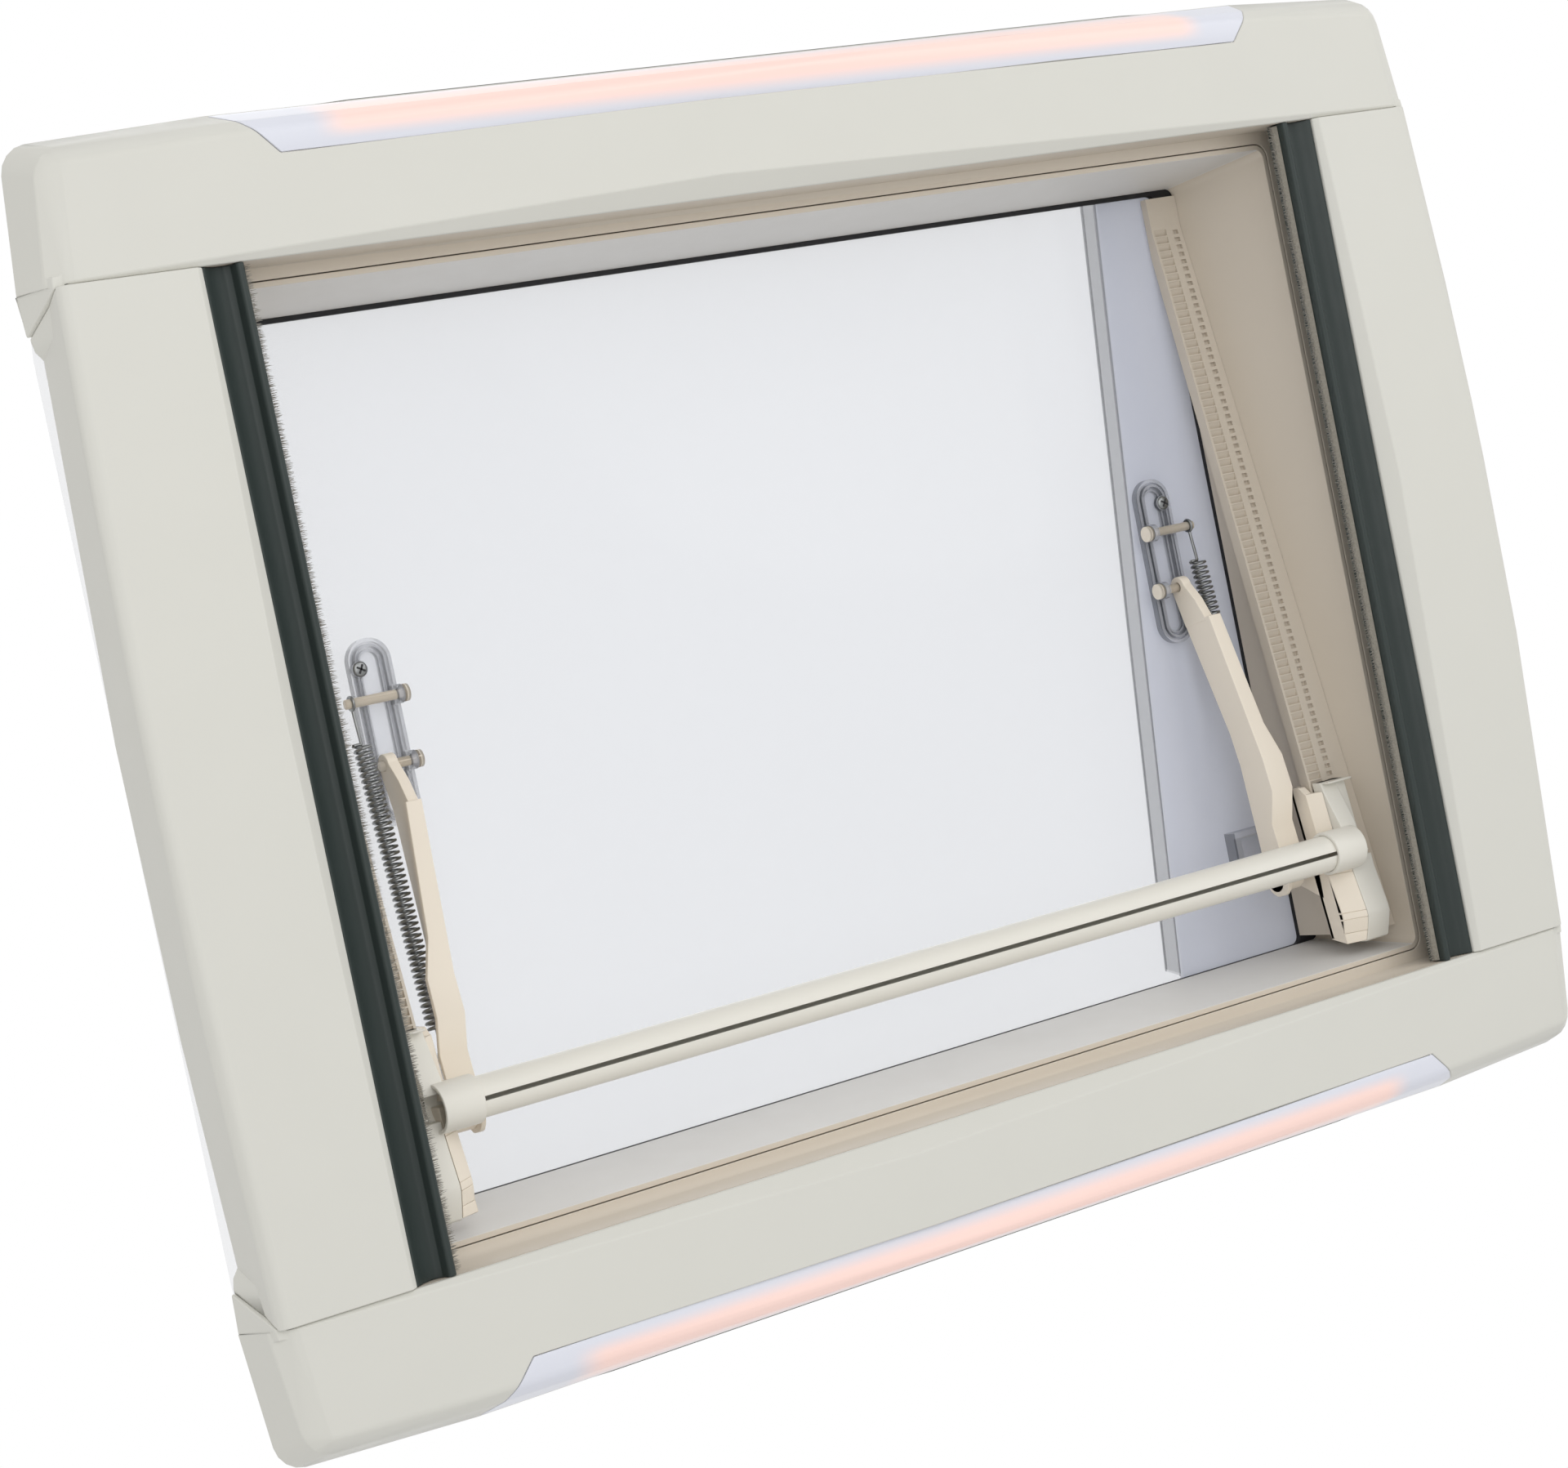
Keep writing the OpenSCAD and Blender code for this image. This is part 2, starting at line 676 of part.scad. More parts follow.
module spring() {
    hook = pin_d / 2 + run_gap + wire_d / 2;
    rings = floor((coil_end - coil_start) / coil_pitch);
    ridges = [for (i = [0:rings - 1]) each [
        [spring_d / 2 - wire_d * 0.6, coil_start + i * coil_pitch],
        [spring_d / 2, coil_start + (i + 0.3) * coil_pitch],
        [spring_d / 2, coil_start + (i + 0.6) * coil_pitch]]];
    last = coil_start + rings * coil_pitch;
    color(metal)
        translate([0, spring_pin_y, pin_z]) rotate([atan(spring_fall / spring_run), 0, 0])
        mirror([0, 1, 0]) {
            spring_eye(0, pin_d / 2);
            spring_eye(spring_len, pin_d / 2 - 0.5);
            translate([spring_x, hook, 0]) rotate([-90, 0, 0])
                cylinder(d = wire_d, h = coil_start - hook + 1, $fn = 16);
            translate([spring_x, last - 1, 0]) rotate([-90, 0, 0])
                cylinder(d = wire_d, h = spring_len - hook + 0.5 - last + 1, $fn = 16);
            translate([spring_x, 0, 0]) rotate([-90, 0, 0]) rotate_extrude($fn = 32)
                polygon(concat([[0, coil_start]], ridges,
                               [[spring_d / 2 - wire_d * 0.6, last], [0, last]]));
        }
}

// Handle bar: a tube with a groove along its room side
collar_r = bar_d / 2 + collar_t;
bar_end = carriage_in + 1.7;
collar_in = carriage_in - 7;
groove_w = 2.4;
module handle_bar() {
    color(cream) difference() {
        rod(-bar_end, bar_end, -bar_y, bar_z, bar_d / 2);
        rod(-bar_end - over, bar_end + over, -bar_y, bar_z, bar_d / 2 - bar_t);
        block(-collar_in + 2, collar_in - 2, -bar_y - groove_w / 2, -bar_y + groove_w / 2,
              bar_z - bar_d / 2 - over, bar_z - bar_d / 2 + 1.4);
    }
}

// Carriage: it slides below the rack and holds the bar's end in a collar
block_end = bar_y + 52;
block_front = bar_y + 8;
block_back = bar_y - 42;
block_low = bar_z - 14;
block_high = bar_z - 1;
module carriage() {
    top_end = rack_z(-block_end) - slide_gap;
    color(cream) difference() {
        union() {
            along_x(seam_x + seat_gap, carriage_out) polygon([
                [-bar_y, rack_z(-bar_y) - slide_gap - 0.5], [-bar_y, bar_z - 4],
                [-block_front, bar_z - 10], [-block_front - 8, block_low],
                [-block_end + 3, block_low], [-block_end, block_low + 3], [-block_end, top_end]]);
            along_x(carriage_in + 5 + seat_gap, upper_out) polygon([
                [-bar_y + 9, rack_z(-bar_y + 9) - slide_gap], [-bar_y + 9, block_high + 2],
                [-bar_y + 12, block_high], [-block_back - 4, block_high],
                [-block_back - 1, block_high + 4], [-block_back - 3, block_high + 6],
                [-block_back - 3, block_high + 14], [-block_back, block_high + 14],
                [-block_back, rack_z(-block_back) - slide_gap]]);
            along_x(upper_out - 6, upper_out + 3) polygon([
                [-bar_y, rack_z(-bar_y) - slide_gap - 0.5], [-bar_y, block_high],
                [-bar_y + 14, block_high], [-bar_y + 14, rack_z(-bar_y + 14) - slide_gap]]);
            rod(collar_in, carriage_out, -bar_y, bar_z, collar_r);
        }
        rod(collar_in - over, bar_end + seat_gap, -bar_y, bar_z, bar_d / 2 + run_gap);
        rod(bar_end + seat_gap + 3, carriage_out + over, -bar_y, bar_z, bar_d / 2 - 1);
    }
}

// Cheek: the carriage's inner plate, with the hook over the rail and the arm's ear
hook_t = 3;
inner_t = 5;
ear_top = pin_z - arm_drop + 10;
module cheek() {
    hook_z = rail_t + slide_gap;
    ear_y = -arm_end_y;
    color(cream) difference() {
        union() {
            along_x(carriage_in, carriage_in + inner_t) polygon([
                [-block_back - 3, rack_z(-block_back) + hook_z + hook_t],
                [-block_back - 3, block_high + 4], [-block_back - 6, block_high],
                [-bar_y + 12, block_high], [-bar_y, bar_z - collar_r - 2],
                [-block_front, block_low + 3], [-block_front - 6, block_low],
                [-block_end + 3, block_low], [-block_end, block_low + 3],
                [-block_end, rack_z(-block_end) + hook_z + hook_t]]);
            along_x(carriage_in, rack_in + 6) polygon([
                [-block_back - 3, rack_z(-block_back - 3) + hook_z],
                [-block_back - 3, rack_z(-block_back - 3) + hook_z + hook_t],
                [-block_end, rack_z(-block_end) + hook_z + hook_t],
                [-block_end, rack_z(-block_end) + hook_z]]);
            along_x(carriage_in + inner_t - 0.5, seam_x) polygon([
                [-block_front - 4, rack_z(-block_front - 4) - slide_gap],
                [-block_front - 4, block_low + 4], [-block_front - 10, block_low],
                [-block_end + 3, block_low], [-block_end, block_low + 3],
                [-block_end, rack_z(-block_end) - slide_gap]]);
            along_x(carriage_in, carriage_in + hook_t) polygon([
                [ear_y + 16, block_high + 18], [ear_y - 16, block_high + 18], [ear_y - 7, ear_top - 4],
                [ear_y - 3, ear_top], [ear_y + 3, ear_top], [ear_y + 7, ear_top - 4]]);
            rod(lane_out + slide_gap, carriage_in + 1, ear_y, pin_z - arm_drop, pin_d / 2);
        }
        rod(carriage_in - over, carriage_out, -bar_y, bar_z, collar_r + seat_gap);
    }
}

roof_frame();
opening_liner();
inner_frame();
dome_gasket();
hinge_rail();
at_end(1) end_cover();  // cover_hinge_side
at_end(-1) end_cover();  // cover_handle_side
at_side(1) side_cover();  // cover_left
at_side(-1) side_cover();  // cover_right
at_end(1) lens();  // lens_hinge_side
at_end(-1) lens();  // lens_handle_side
at_end(1) led_strip();  // led_strip_hinge_side
at_end(-1) led_strip();  // led_strip_handle_side
at_side(1) blind_guide();  // blind_guide_left
at_side(-1) blind_guide();  // blind_guide_right
at_side(1) brush();  // brush_left
at_side(-1) brush();  // brush_right
at_side(1) rack();  // rack_left
at_side(-1) rack();  // rack_right
dome_shell();
inner_pane();
hinge_profile();
at_side(1) bracket();  // bracket_left
at_side(-1) bracket();  // bracket_right
at_side(1) pin(-arm_pin_y, tongue_x1 + 2);  // arm_pin_left
at_side(-1) pin(-arm_pin_y, tongue_x1 + 2);  // arm_pin_right
at_side(1) pin(spring_pin_y, spring_x + 3);  // spring_pin_left
at_side(-1) pin(spring_pin_y, spring_x + 3);  // spring_pin_right
at_side(1) lock_tab();  // lock_tab_left
at_side(-1) lock_tab();  // lock_tab_right
at_side(1) arm();  // arm_left
at_side(-1) arm();  // arm_right
at_side(1) spring();  // spring_left
at_side(-1) spring();  // spring_right
handle_bar();
at_side(1) carriage();  // carriage_left
at_side(-1) carriage();  // carriage_right
at_side(1) cheek();  // cheek_left
at_side(-1) cheek();  // cheek_right
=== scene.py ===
"""Looks of a caravan roof hatch: its mouldings, acrylic, springs, screws, felt and edge light.

The hatch hangs above the room with +Z to the sky, +X along its length and +Y to its hinge.
"""

import json
from math import asin, atan, cos, degrees, hypot, pi, radians, sin, tan

import bmesh
import bpy
from bpy.props import FloatProperty, FloatVectorProperty, IntProperty, PointerProperty
from mathutils import Euler, Matrix, Vector, noise


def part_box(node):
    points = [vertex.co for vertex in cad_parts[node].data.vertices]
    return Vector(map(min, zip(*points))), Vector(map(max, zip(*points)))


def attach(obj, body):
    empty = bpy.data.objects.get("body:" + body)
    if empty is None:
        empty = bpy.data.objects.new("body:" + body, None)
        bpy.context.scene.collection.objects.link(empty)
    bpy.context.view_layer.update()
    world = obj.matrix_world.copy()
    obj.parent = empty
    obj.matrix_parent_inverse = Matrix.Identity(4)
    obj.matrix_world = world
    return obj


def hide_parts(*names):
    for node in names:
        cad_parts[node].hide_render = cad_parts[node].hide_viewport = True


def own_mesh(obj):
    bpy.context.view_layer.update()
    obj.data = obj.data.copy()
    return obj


bl_info = {
    "name": "Roof Hatch Looks",
    "version": (1, 0, 0),
    "blender": (4, 5, 0),
    "location": "View3D > Sidebar > Roof Hatch",
    "description": "Dresses the packed CAD model of a caravan roof hatch",
    "category": "Object",
}

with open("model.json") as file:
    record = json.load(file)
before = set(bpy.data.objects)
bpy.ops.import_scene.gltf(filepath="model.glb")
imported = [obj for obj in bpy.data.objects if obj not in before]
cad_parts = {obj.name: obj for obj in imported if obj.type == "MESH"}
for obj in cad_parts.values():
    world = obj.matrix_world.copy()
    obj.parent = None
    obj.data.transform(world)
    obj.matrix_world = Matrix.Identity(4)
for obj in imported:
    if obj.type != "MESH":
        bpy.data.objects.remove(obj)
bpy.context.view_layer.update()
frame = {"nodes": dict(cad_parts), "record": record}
MM = 0.001
PLASTIC_IOR = 1.49
# Degrees at a corner of a face under which its edges stay sharp
NARROW_WEDGE = 24
# Turn between two faces over which the shading breaks at their edge
SHARP_TURN = radians(50)
# Height of the covers' outer rim in millimetres
COVER_RIM = 14.0

BODY_OF = {
    node: body
    for body, nodes in frame["record"]["behaviour"]["bodies"].items()
    for node in nodes
}
SLOT_OF = {row["node"]: row["material_slot"] for row in frame["record"]["subparts"]}


def srgb(red, green, blue):
    """Linear colour of a screen colour given as 0 to 255."""
    def linear(value):
        share = value / 255
        return share / 12.92 if share <= 0.04045 else ((share + 0.055) / 1.055) ** 2.4
    return tuple(linear(value) for value in (red, green, blue))


def colour_prop(name, description, default):
    return FloatVectorProperty(name=name, description=description, default=default,
                               subtype="COLOR", size=3, min=0.0, max=1.0)


def length_prop(name, description, default, high):
    return FloatProperty(name=name, description=description, default=default,
                         min=0.0, max=high, subtype="DISTANCE", unit="LENGTH", precision=5)


class HatchColours(bpy.types.PropertyGroup):
    """Colours of the hatch's finishes"""
    cover: colour_prop("Covers", "Clip-on covers round the opening", srgb(217, 216, 208))
    liner: colour_prop("Frame and liner", "Inner frame, liner and racks", srgb(212, 202, 187))
    # Paler colour of the liner's front and back walls: painted reflection of the sky
    sheen: colour_prop("Liner painted sky reflection", "Painted sky reflection on the liner's front and back walls", srgb(222, 220, 216))
    handle: colour_prop("Handle", "Bar, collars and carriages", srgb(231, 228, 218))
    arm: colour_prop("Arms", "Lifting arms, cheeks and pins", srgb(240, 230, 214))
    guide: colour_prop("Blind guides", "Channels for the blinds", srgb(52, 60, 58))
    felt: colour_prop("Felt", "Pile along the blind guides", srgb(146, 141, 130))
    lens: colour_prop("Lens", "Opal lens where the lamps don't reach", srgb(224, 226, 235))
    glow: colour_prop("Glow", "Lamp light in the middle of the lens", srgb(255, 222, 212))
    acrylic: colour_prop("Acrylic", "Clear part of the shell and the pane", srgb(196, 202, 214))
    flange: colour_prop("Pane flange", "Pane outside its side ribs", srgb(206, 210, 224))
    # Grey of the clear slanted rib: painted shade
    rib: colour_prop("Pane rib", "Painted shade of the slanted wall round the pane's field", srgb(140, 144, 152))
    rubber: colour_prop("Gasket", "Sealing rubber", srgb(26, 26, 28))
    metal: colour_prop("Aluminium", "Hinge rail and profile", srgb(196, 198, 200))
    steel: colour_prop("Spring wire", "Spring and screws", srgb(150, 152, 152))


class HatchSizes(bpy.types.PropertyGroup):
    """Sizes of the pieces that the scene adds"""
    edge: length_prop("Edge rounding", "Rounding of the mouldings' edges", 0.5 * MM, high=0.002)
    fine_edge: length_prop("Fine rounding", "Rounding of small pieces' edges", 0.25 * MM, high=0.001)
    wire: length_prop("Spring wire", "Diameter of the spring wire", 1.7 * MM, high=0.003)
    coil: length_prop("Spring coil", "Outer diameter of the spring coil", 10.2 * MM, high=0.02)
    pitch: length_prop("Coil pitch", "Distance between two turns", 3.0 * MM, high=0.01)
    screw: length_prop("Screw head", "Diameter of the bracket's screw", 8.0 * MM, high=0.02)
    tuft: length_prop("Felt pile", "Length of the felt's pile", 3.0 * MM, high=0.01)
    floor_drop: length_prop("Floor", "How far below the hatch the floor lies", 2.3, high=10.0)


class HatchLooks(bpy.types.PropertyGroup):
    """Settings of the roof hatch"""
    colours: PointerProperty(type=HatchColours)
    sizes: PointerProperty(type=HatchSizes)
    grain_seed: IntProperty(name="Felt seed", description="Pattern of the felt's pile",
                            default=7, min=0, max=999)


# Materials

def new_material(name):
    """A node material, its tree and its main shader."""
    material = bpy.data.materials.new(name)
    material.use_nodes = True
    return material, material.node_tree, material.node_tree.nodes["Principled BSDF"]


def feed(socket, value):
    """Links a socket to another node's output, or gives it a value."""
    if isinstance(value, bpy.types.NodeSocket):
        socket.id_data.links.new(value, socket)
    else:
        socket.default_value = value


def fill(node, **values):
    """Feeds a shader node's named sockets and returns the node."""
    for name, value in values.items():
        feed(node.inputs[name.replace("_", " ")], value)
    return node


def add_node(tree, kind, **values):
    """A new shader node with its named sockets fed."""
    return fill(tree.nodes.new(kind), **values)


def computed(tree, operation, *values):
    """The result of a maths node."""
    node = tree.nodes.new("ShaderNodeMath")
    node.operation = operation
    for socket, value in zip(node.inputs, values):
        feed(socket, value)
    return node.outputs[0]


def own_place(tree):
    """The place of a point in its piece."""
    return tree.nodes.new("ShaderNodeTexCoord").outputs["Object"]


def object_noise(tree, scale, detail=2.0):
    """Noise that sticks to the piece, scaled per metre."""
    return add_node(tree, "ShaderNodeTexNoise", Scale=scale, Detail=detail,
                    Vector=own_place(tree)).outputs["Fac"]


def mixed(tree, factor, low, high):
    """A colour that runs from low to high with a factor."""
    mix = tree.nodes.new("ShaderNodeMix")
    mix.data_type = "RGBA"
    for index, value in ((0, factor), (6, low), (7, high)):
        feed(mix.inputs[index], value)
    return mix.outputs[2]


def varied(tree, factor, colour, low, high):
    """A colour whose lightness runs between two shares more or less than its own with a factor."""
    return mixed(tree, factor, *(tuple(min(1.0, value * (1 + share)) for value in colour) + (1.0,)
                                 for share in (low, high)))


def ranged(tree, value, low, high, to_low, to_high, smooth=False):
    """A value mapped from one range to another."""
    node = add_node(tree, "ShaderNodeMapRange", Value=value, From_Min=low, From_Max=high,
                    To_Min=to_low, To_Max=to_high)
    if smooth:
        node.interpolation_type = "SMOOTHSTEP"
    return node.outputs["Result"]


def bumpy(tree, strength, distance, height):
    """A normal that follows a height."""
    return add_node(tree, "ShaderNodeBump", Strength=strength, Distance=distance,
                    Height=height).outputs["Normal"]


def moulded(name, colour, roughness, mottle=0.012, grain=0.04):
    """Moulded plastic with a faint mottle and a fine grain."""
    material, tree, shader = new_material(name)
    fill(shader, Base_Color=varied(tree, object_noise(tree, 22), colour, -mottle, mottle),
         Roughness=ranged(tree, object_noise(tree, 60), 0.3, 0.7, roughness - 0.04, roughness + 0.05),
         IOR=PLASTIC_IOR, Specular_IOR_Level=0.3,
         Normal=bumpy(tree, grain, 0.0004, object_noise(tree, 1600)))
    return material


def clear_acrylic(name, colour, alpha):
    """Acrylic seen through, with a share of its own colour."""
    material, tree, shader = new_material(name)
    fill(shader, Base_Color=varied(tree, object_noise(tree, 5, 3.0), colour, -0.05, 0.04),
         Roughness=0.06, IOR=PLASTIC_IOR, Alpha=alpha)
    material.surface_render_method = "BLENDED"
    return material


def felt_pile(name, colour):
    """Short pile with a sheen."""
    material, tree, shader = new_material(name)
    fill(shader, Base_Color=varied(tree, object_noise(tree, 900, 3.0), colour, -0.35, 0.3),
         Roughness=0.95, Sheen_Weight=0.4,
         Normal=bumpy(tree, 0.5, 0.0006, object_noise(tree, 1200, 3.0)))
    return material


def drawn_metal(name, colour, roughness):
    """Metal with fine lines along its length."""
    material, tree, shader = new_material(name)
    stretch = add_node(tree, "ShaderNodeMapping", Scale=(4.0, 900.0, 900.0), Vector=own_place(tree))
    lines = add_node(tree, "ShaderNodeTexNoise", Scale=1.0, Detail=2.0,
                     Vector=stretch.outputs["Vector"])
    fill(shader, Base_Color=varied(tree, lines.outputs["Fac"], colour, -0.08, 0.06),
         Metallic=1.0, Roughness=roughness)
    return material


def rubber_and_painted_shade(name, colour):
    """Matt rubber, also used as the painted shade in the screw's cross recess."""
    material, tree, shader = new_material(name)
    fill(shader, Base_Color=varied(tree, object_noise(tree, 90, 3.0), colour, -0.2, 0.35),
         Roughness=0.7)
    return material


def opal_lens(name, lens, glow, half_length, middle, half_width):
    """Opal plastic that glows along its middle and fades at both ends, by its place."""
    material, tree, shader = new_material(name)
    axes = add_node(tree, "ShaderNodeSeparateXYZ", Vector=own_place(tree))
    along = computed(tree, "ABSOLUTE", axes.outputs["X"])
    across = computed(tree, "ABSOLUTE", computed(tree, "SUBTRACT", axes.outputs["Y"], middle))
    lit = computed(tree, "MULTIPLY",
                   ranged(tree, along, half_length - 16 * MM, half_length + 6 * MM, 1.0, 0.0, True),
                   ranged(tree, across, half_width * 0.45, half_width * 1.35, 1.0, 0.0, True))
    shade = mixed(tree, lit, tuple(lens) + (1.0,), tuple(glow) + (1.0,))
    fill(shader, Base_Color=shade, Emission_Color=shade, Roughness=0.3, IOR=PLASTIC_IOR,
         Emission_Strength=ranged(tree, lit, 0.0, 1.0, 0.0, 0.05))
    return material


# Meshes

def merged_copy(node):
    """A copy of a CAD node with its loose triangles joined into flat faces."""
    bm = bmesh.new()
    bm.from_mesh(frame["nodes"][node].data)
    bmesh.ops.remove_doubles(bm, verts=bm.verts, dist=0.08 * MM)
    bmesh.ops.dissolve_degenerate(bm, edges=bm.edges, dist=0.01 * MM)
    bmesh.ops.dissolve_limit(bm, angle_limit=radians(1.5), verts=bm.verts, edges=bm.edges)
    bmesh.ops.recalc_face_normals(bm, faces=bm.faces)
    return bm


def corner_angles(edge):
    """The angles of the faces beside an edge, at both its ends, in degrees."""
    for loop in edge.link_loops:
        yield degrees(loop.calc_angle())
        yield degrees(loop.link_loop_next.calc_angle())


def round_edges(bm, width, angle=28):
    """Rounds the edges that turn by more than an angle, but for those of narrow wedges."""
    sharp = [edge for edge in bm.edges
             if len(edge.link_faces) == 2 and edge.calc_face_angle() > radians(angle)
             and edge.calc_length() > width and min(corner_angles(edge)) > NARROW_WEDGE]
    return bevel_edges(bm, sharp, width)


def bevel_edges(bm, edges, width):
    """Rounds the given edges and returns the new faces."""
    return bmesh.ops.bevel(bm, geom=edges, offset=width, offset_type="OFFSET", affect="EDGES",
                           segments=2, profile=0.5, clamp_overlap=False, material=-1)["faces"]


def arc(x, z, radius, start, end, steps=10):
    """Points of an arc in X and Z between two angles in degrees."""
    angles = [radians(start + (end - start) * step / steps) for step in range(steps + 1)]
    return [(x + radius * cos(angle), z + radius * sin(angle)) for angle in angles]


def skin(bm, rings):
    """Adds the faces between rings of vertices that follow each other."""
    for near, far in zip(rings, rings[1:]):
        for index in range(len(near)):
            after = (index + 1) % len(near)
            bm.faces.new((near[index], near[after], far[after], far[index]))


def loft(bm, rings):
    """Adds a closed solid through rings of points."""
    rows = [[bm.verts.new(point) for point in ring] for ring in rings]
    bm.faces.new(rows[0])
    bm.faces.new(rows[-1])
    skin(bm, rows)


def prism_x(bm, outline, start, end):
    """Adds a closed prism along X of an outline given as (Y, Z) points."""
    loft(bm, [[(x, y, z) for y, z in outline] for x in (start, end)])


def block(bm, x, y, z):
    """Adds a block given by its reach along each axis."""
    prism_x(bm, [(y[0], z[0]), (y[1], z[0]), (y[1], z[1]), (y[0], z[1])], *x)


def tube_x(bm, start, end, y, z, outer, inner, steps=40):
    """Adds a tube along X."""
    rings = []
    for x, radius in ((start, inner), (start, outer), (end, outer), (end, inner)):
        rings.append([bm.verts.new((x, y + radius * cos(2 * pi * step / steps),
                                    z + radius * sin(2 * pi * step / steps)))
                      for step in range(steps)])
    skin(bm, rings + rings[:1])


def settle(bm, side):
    """Turns a mesh in millimetres on the +X side into one in metres on either side."""
    bmesh.ops.scale(bm, vec=(side * MM, MM, MM), verts=bm.verts)
    bmesh.ops.recalc_face_normals(bm, faces=bm.faces)


def move_into(bm, form):
    """Adds a second mesh to a mesh and frees it."""
    mesh = bpy.data.meshes.new("form")
    form.to_mesh(mesh)
    form.free()
    bm.from_mesh(mesh)
    bpy.data.meshes.remove(mesh)


def part(value, start, end):
    """How far a value is on its way from start to end, held between 0 and 1."""
    return min(1.0, max(0.0, (value - start) / (end - start)))


def reach(node, axis):
    """The reach of a CAD node along an axis, in millimetres."""
    low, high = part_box(node)
    return low[axis] / MM, high[axis] / MM


class Mechanism:
    """Places of the racks, the bar, the carriages and the arms, in millimetres"""
    slope = tan(radians(7.2))
    gap = 1.0
    seat = 0.3
    rail = 7.0

    def __init__(self):
        self.rack_in, self.rack_out = reach("rack_left", 0)
        self.rack_half = reach("rack_left", 1)[1]
        self.rack_foot, self.rack_top = reach("rack_left", 2)
        self.bar_y = centre("handle_bar").y / MM
        self.bar_z = centre("handle_bar").z / MM
        self.bar_end = reach("handle_bar", 0)[1]
        low, high = reach("handle_bar", 2)
        self.bar_r = (high - low) / 2
        self.cheek_in = self.rack_in - 6
        self.carriage_out = reach("carriage_left", 0)[1]
        self.lane_out = self.cheek_in - 6
        self.pin_y = centre("arm_pin_left").y / MM
        self.pin_z = centre("arm_pin_left").z / MM
        self.end_y = self.bar_y - 12
        self.end_z = self.pin_z - 26

    def rack_z(self, y):
        """Height of the rack's room side at y."""
        return self.rack_foot + (y + self.rack_half) * self.slope

    def under(self, y, drop=0.0):
        """A point below the rack's room side, clear of it by the slider's gap."""
        return (y, self.rack_z(y) - self.gap - drop)


def finish_piece(name, bm, body, slot, materials, replaced=(), crisp=False):
    """Makes the object of a mesh, which rides on a body."""
    mesh = bpy.data.meshes.new(name)
    for face in bm.faces:
        face.smooth = True
    bm.normal_update()
    if crisp:
        for edge in bm.edges:
            edge.smooth = len(edge.link_faces) != 2 or edge.calc_face_angle(0) <= SHARP_TURN
    bm.to_mesh(mesh)
    bm.free()
    for material in materials:
        mesh.materials.append(material)
    piece = bpy.data.objects.new(name, mesh)
    bpy.context.scene.collection.objects.link(piece)
    weighted = piece.modifiers.new("Even shading", "WEIGHTED_NORMAL")
    weighted.keep_sharp = True
    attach(piece, body)
    if replaced:
        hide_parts(*replaced)
    return piece


def finish_node(node, bm, *materials, crisp=False):
    """Puts a mesh in the place of its CAD node."""
    finish_piece(node + "_finish", bm, BODY_OF[node], SLOT_OF[node], materials, [node], crisp)


def dress(node, material, edge, angle=28):
    """Replaces a CAD node with a copy whose edges are rounded."""
    bm = merged_copy(node)
    round_edges(bm, edge, angle)
    finish_node(node, bm, material)


def sides(stem):
    """The left and the right node of a pair."""
    return (stem + "_left", stem + "_right")


def side_of(node):
    """1 for a left node, which lies on the +X side, and -1 for a right one."""
    return 1 if node.endswith("left") else -1


def centre(node):
    """The middle of a CAD node's box."""
    low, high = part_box(node)
    return (Vector(low) + Vector(high)) / 2


def rod(bm, start, end, radius, segments, tip=None):
    """Adds a closed round rod between two points, which tapers to a tip's radius if it has one."""
    start, end = Vector(start), Vector(end)
    turn = (end - start).to_track_quat("Z", "Y").to_matrix().to_4x4()
    bmesh.ops.create_cone(bm, cap_ends=True, segments=segments, radius1=radius,
                          radius2=tip or radius, depth=(end - start).length,
                          matrix=Matrix.Translation((start + end) / 2) @ turn)


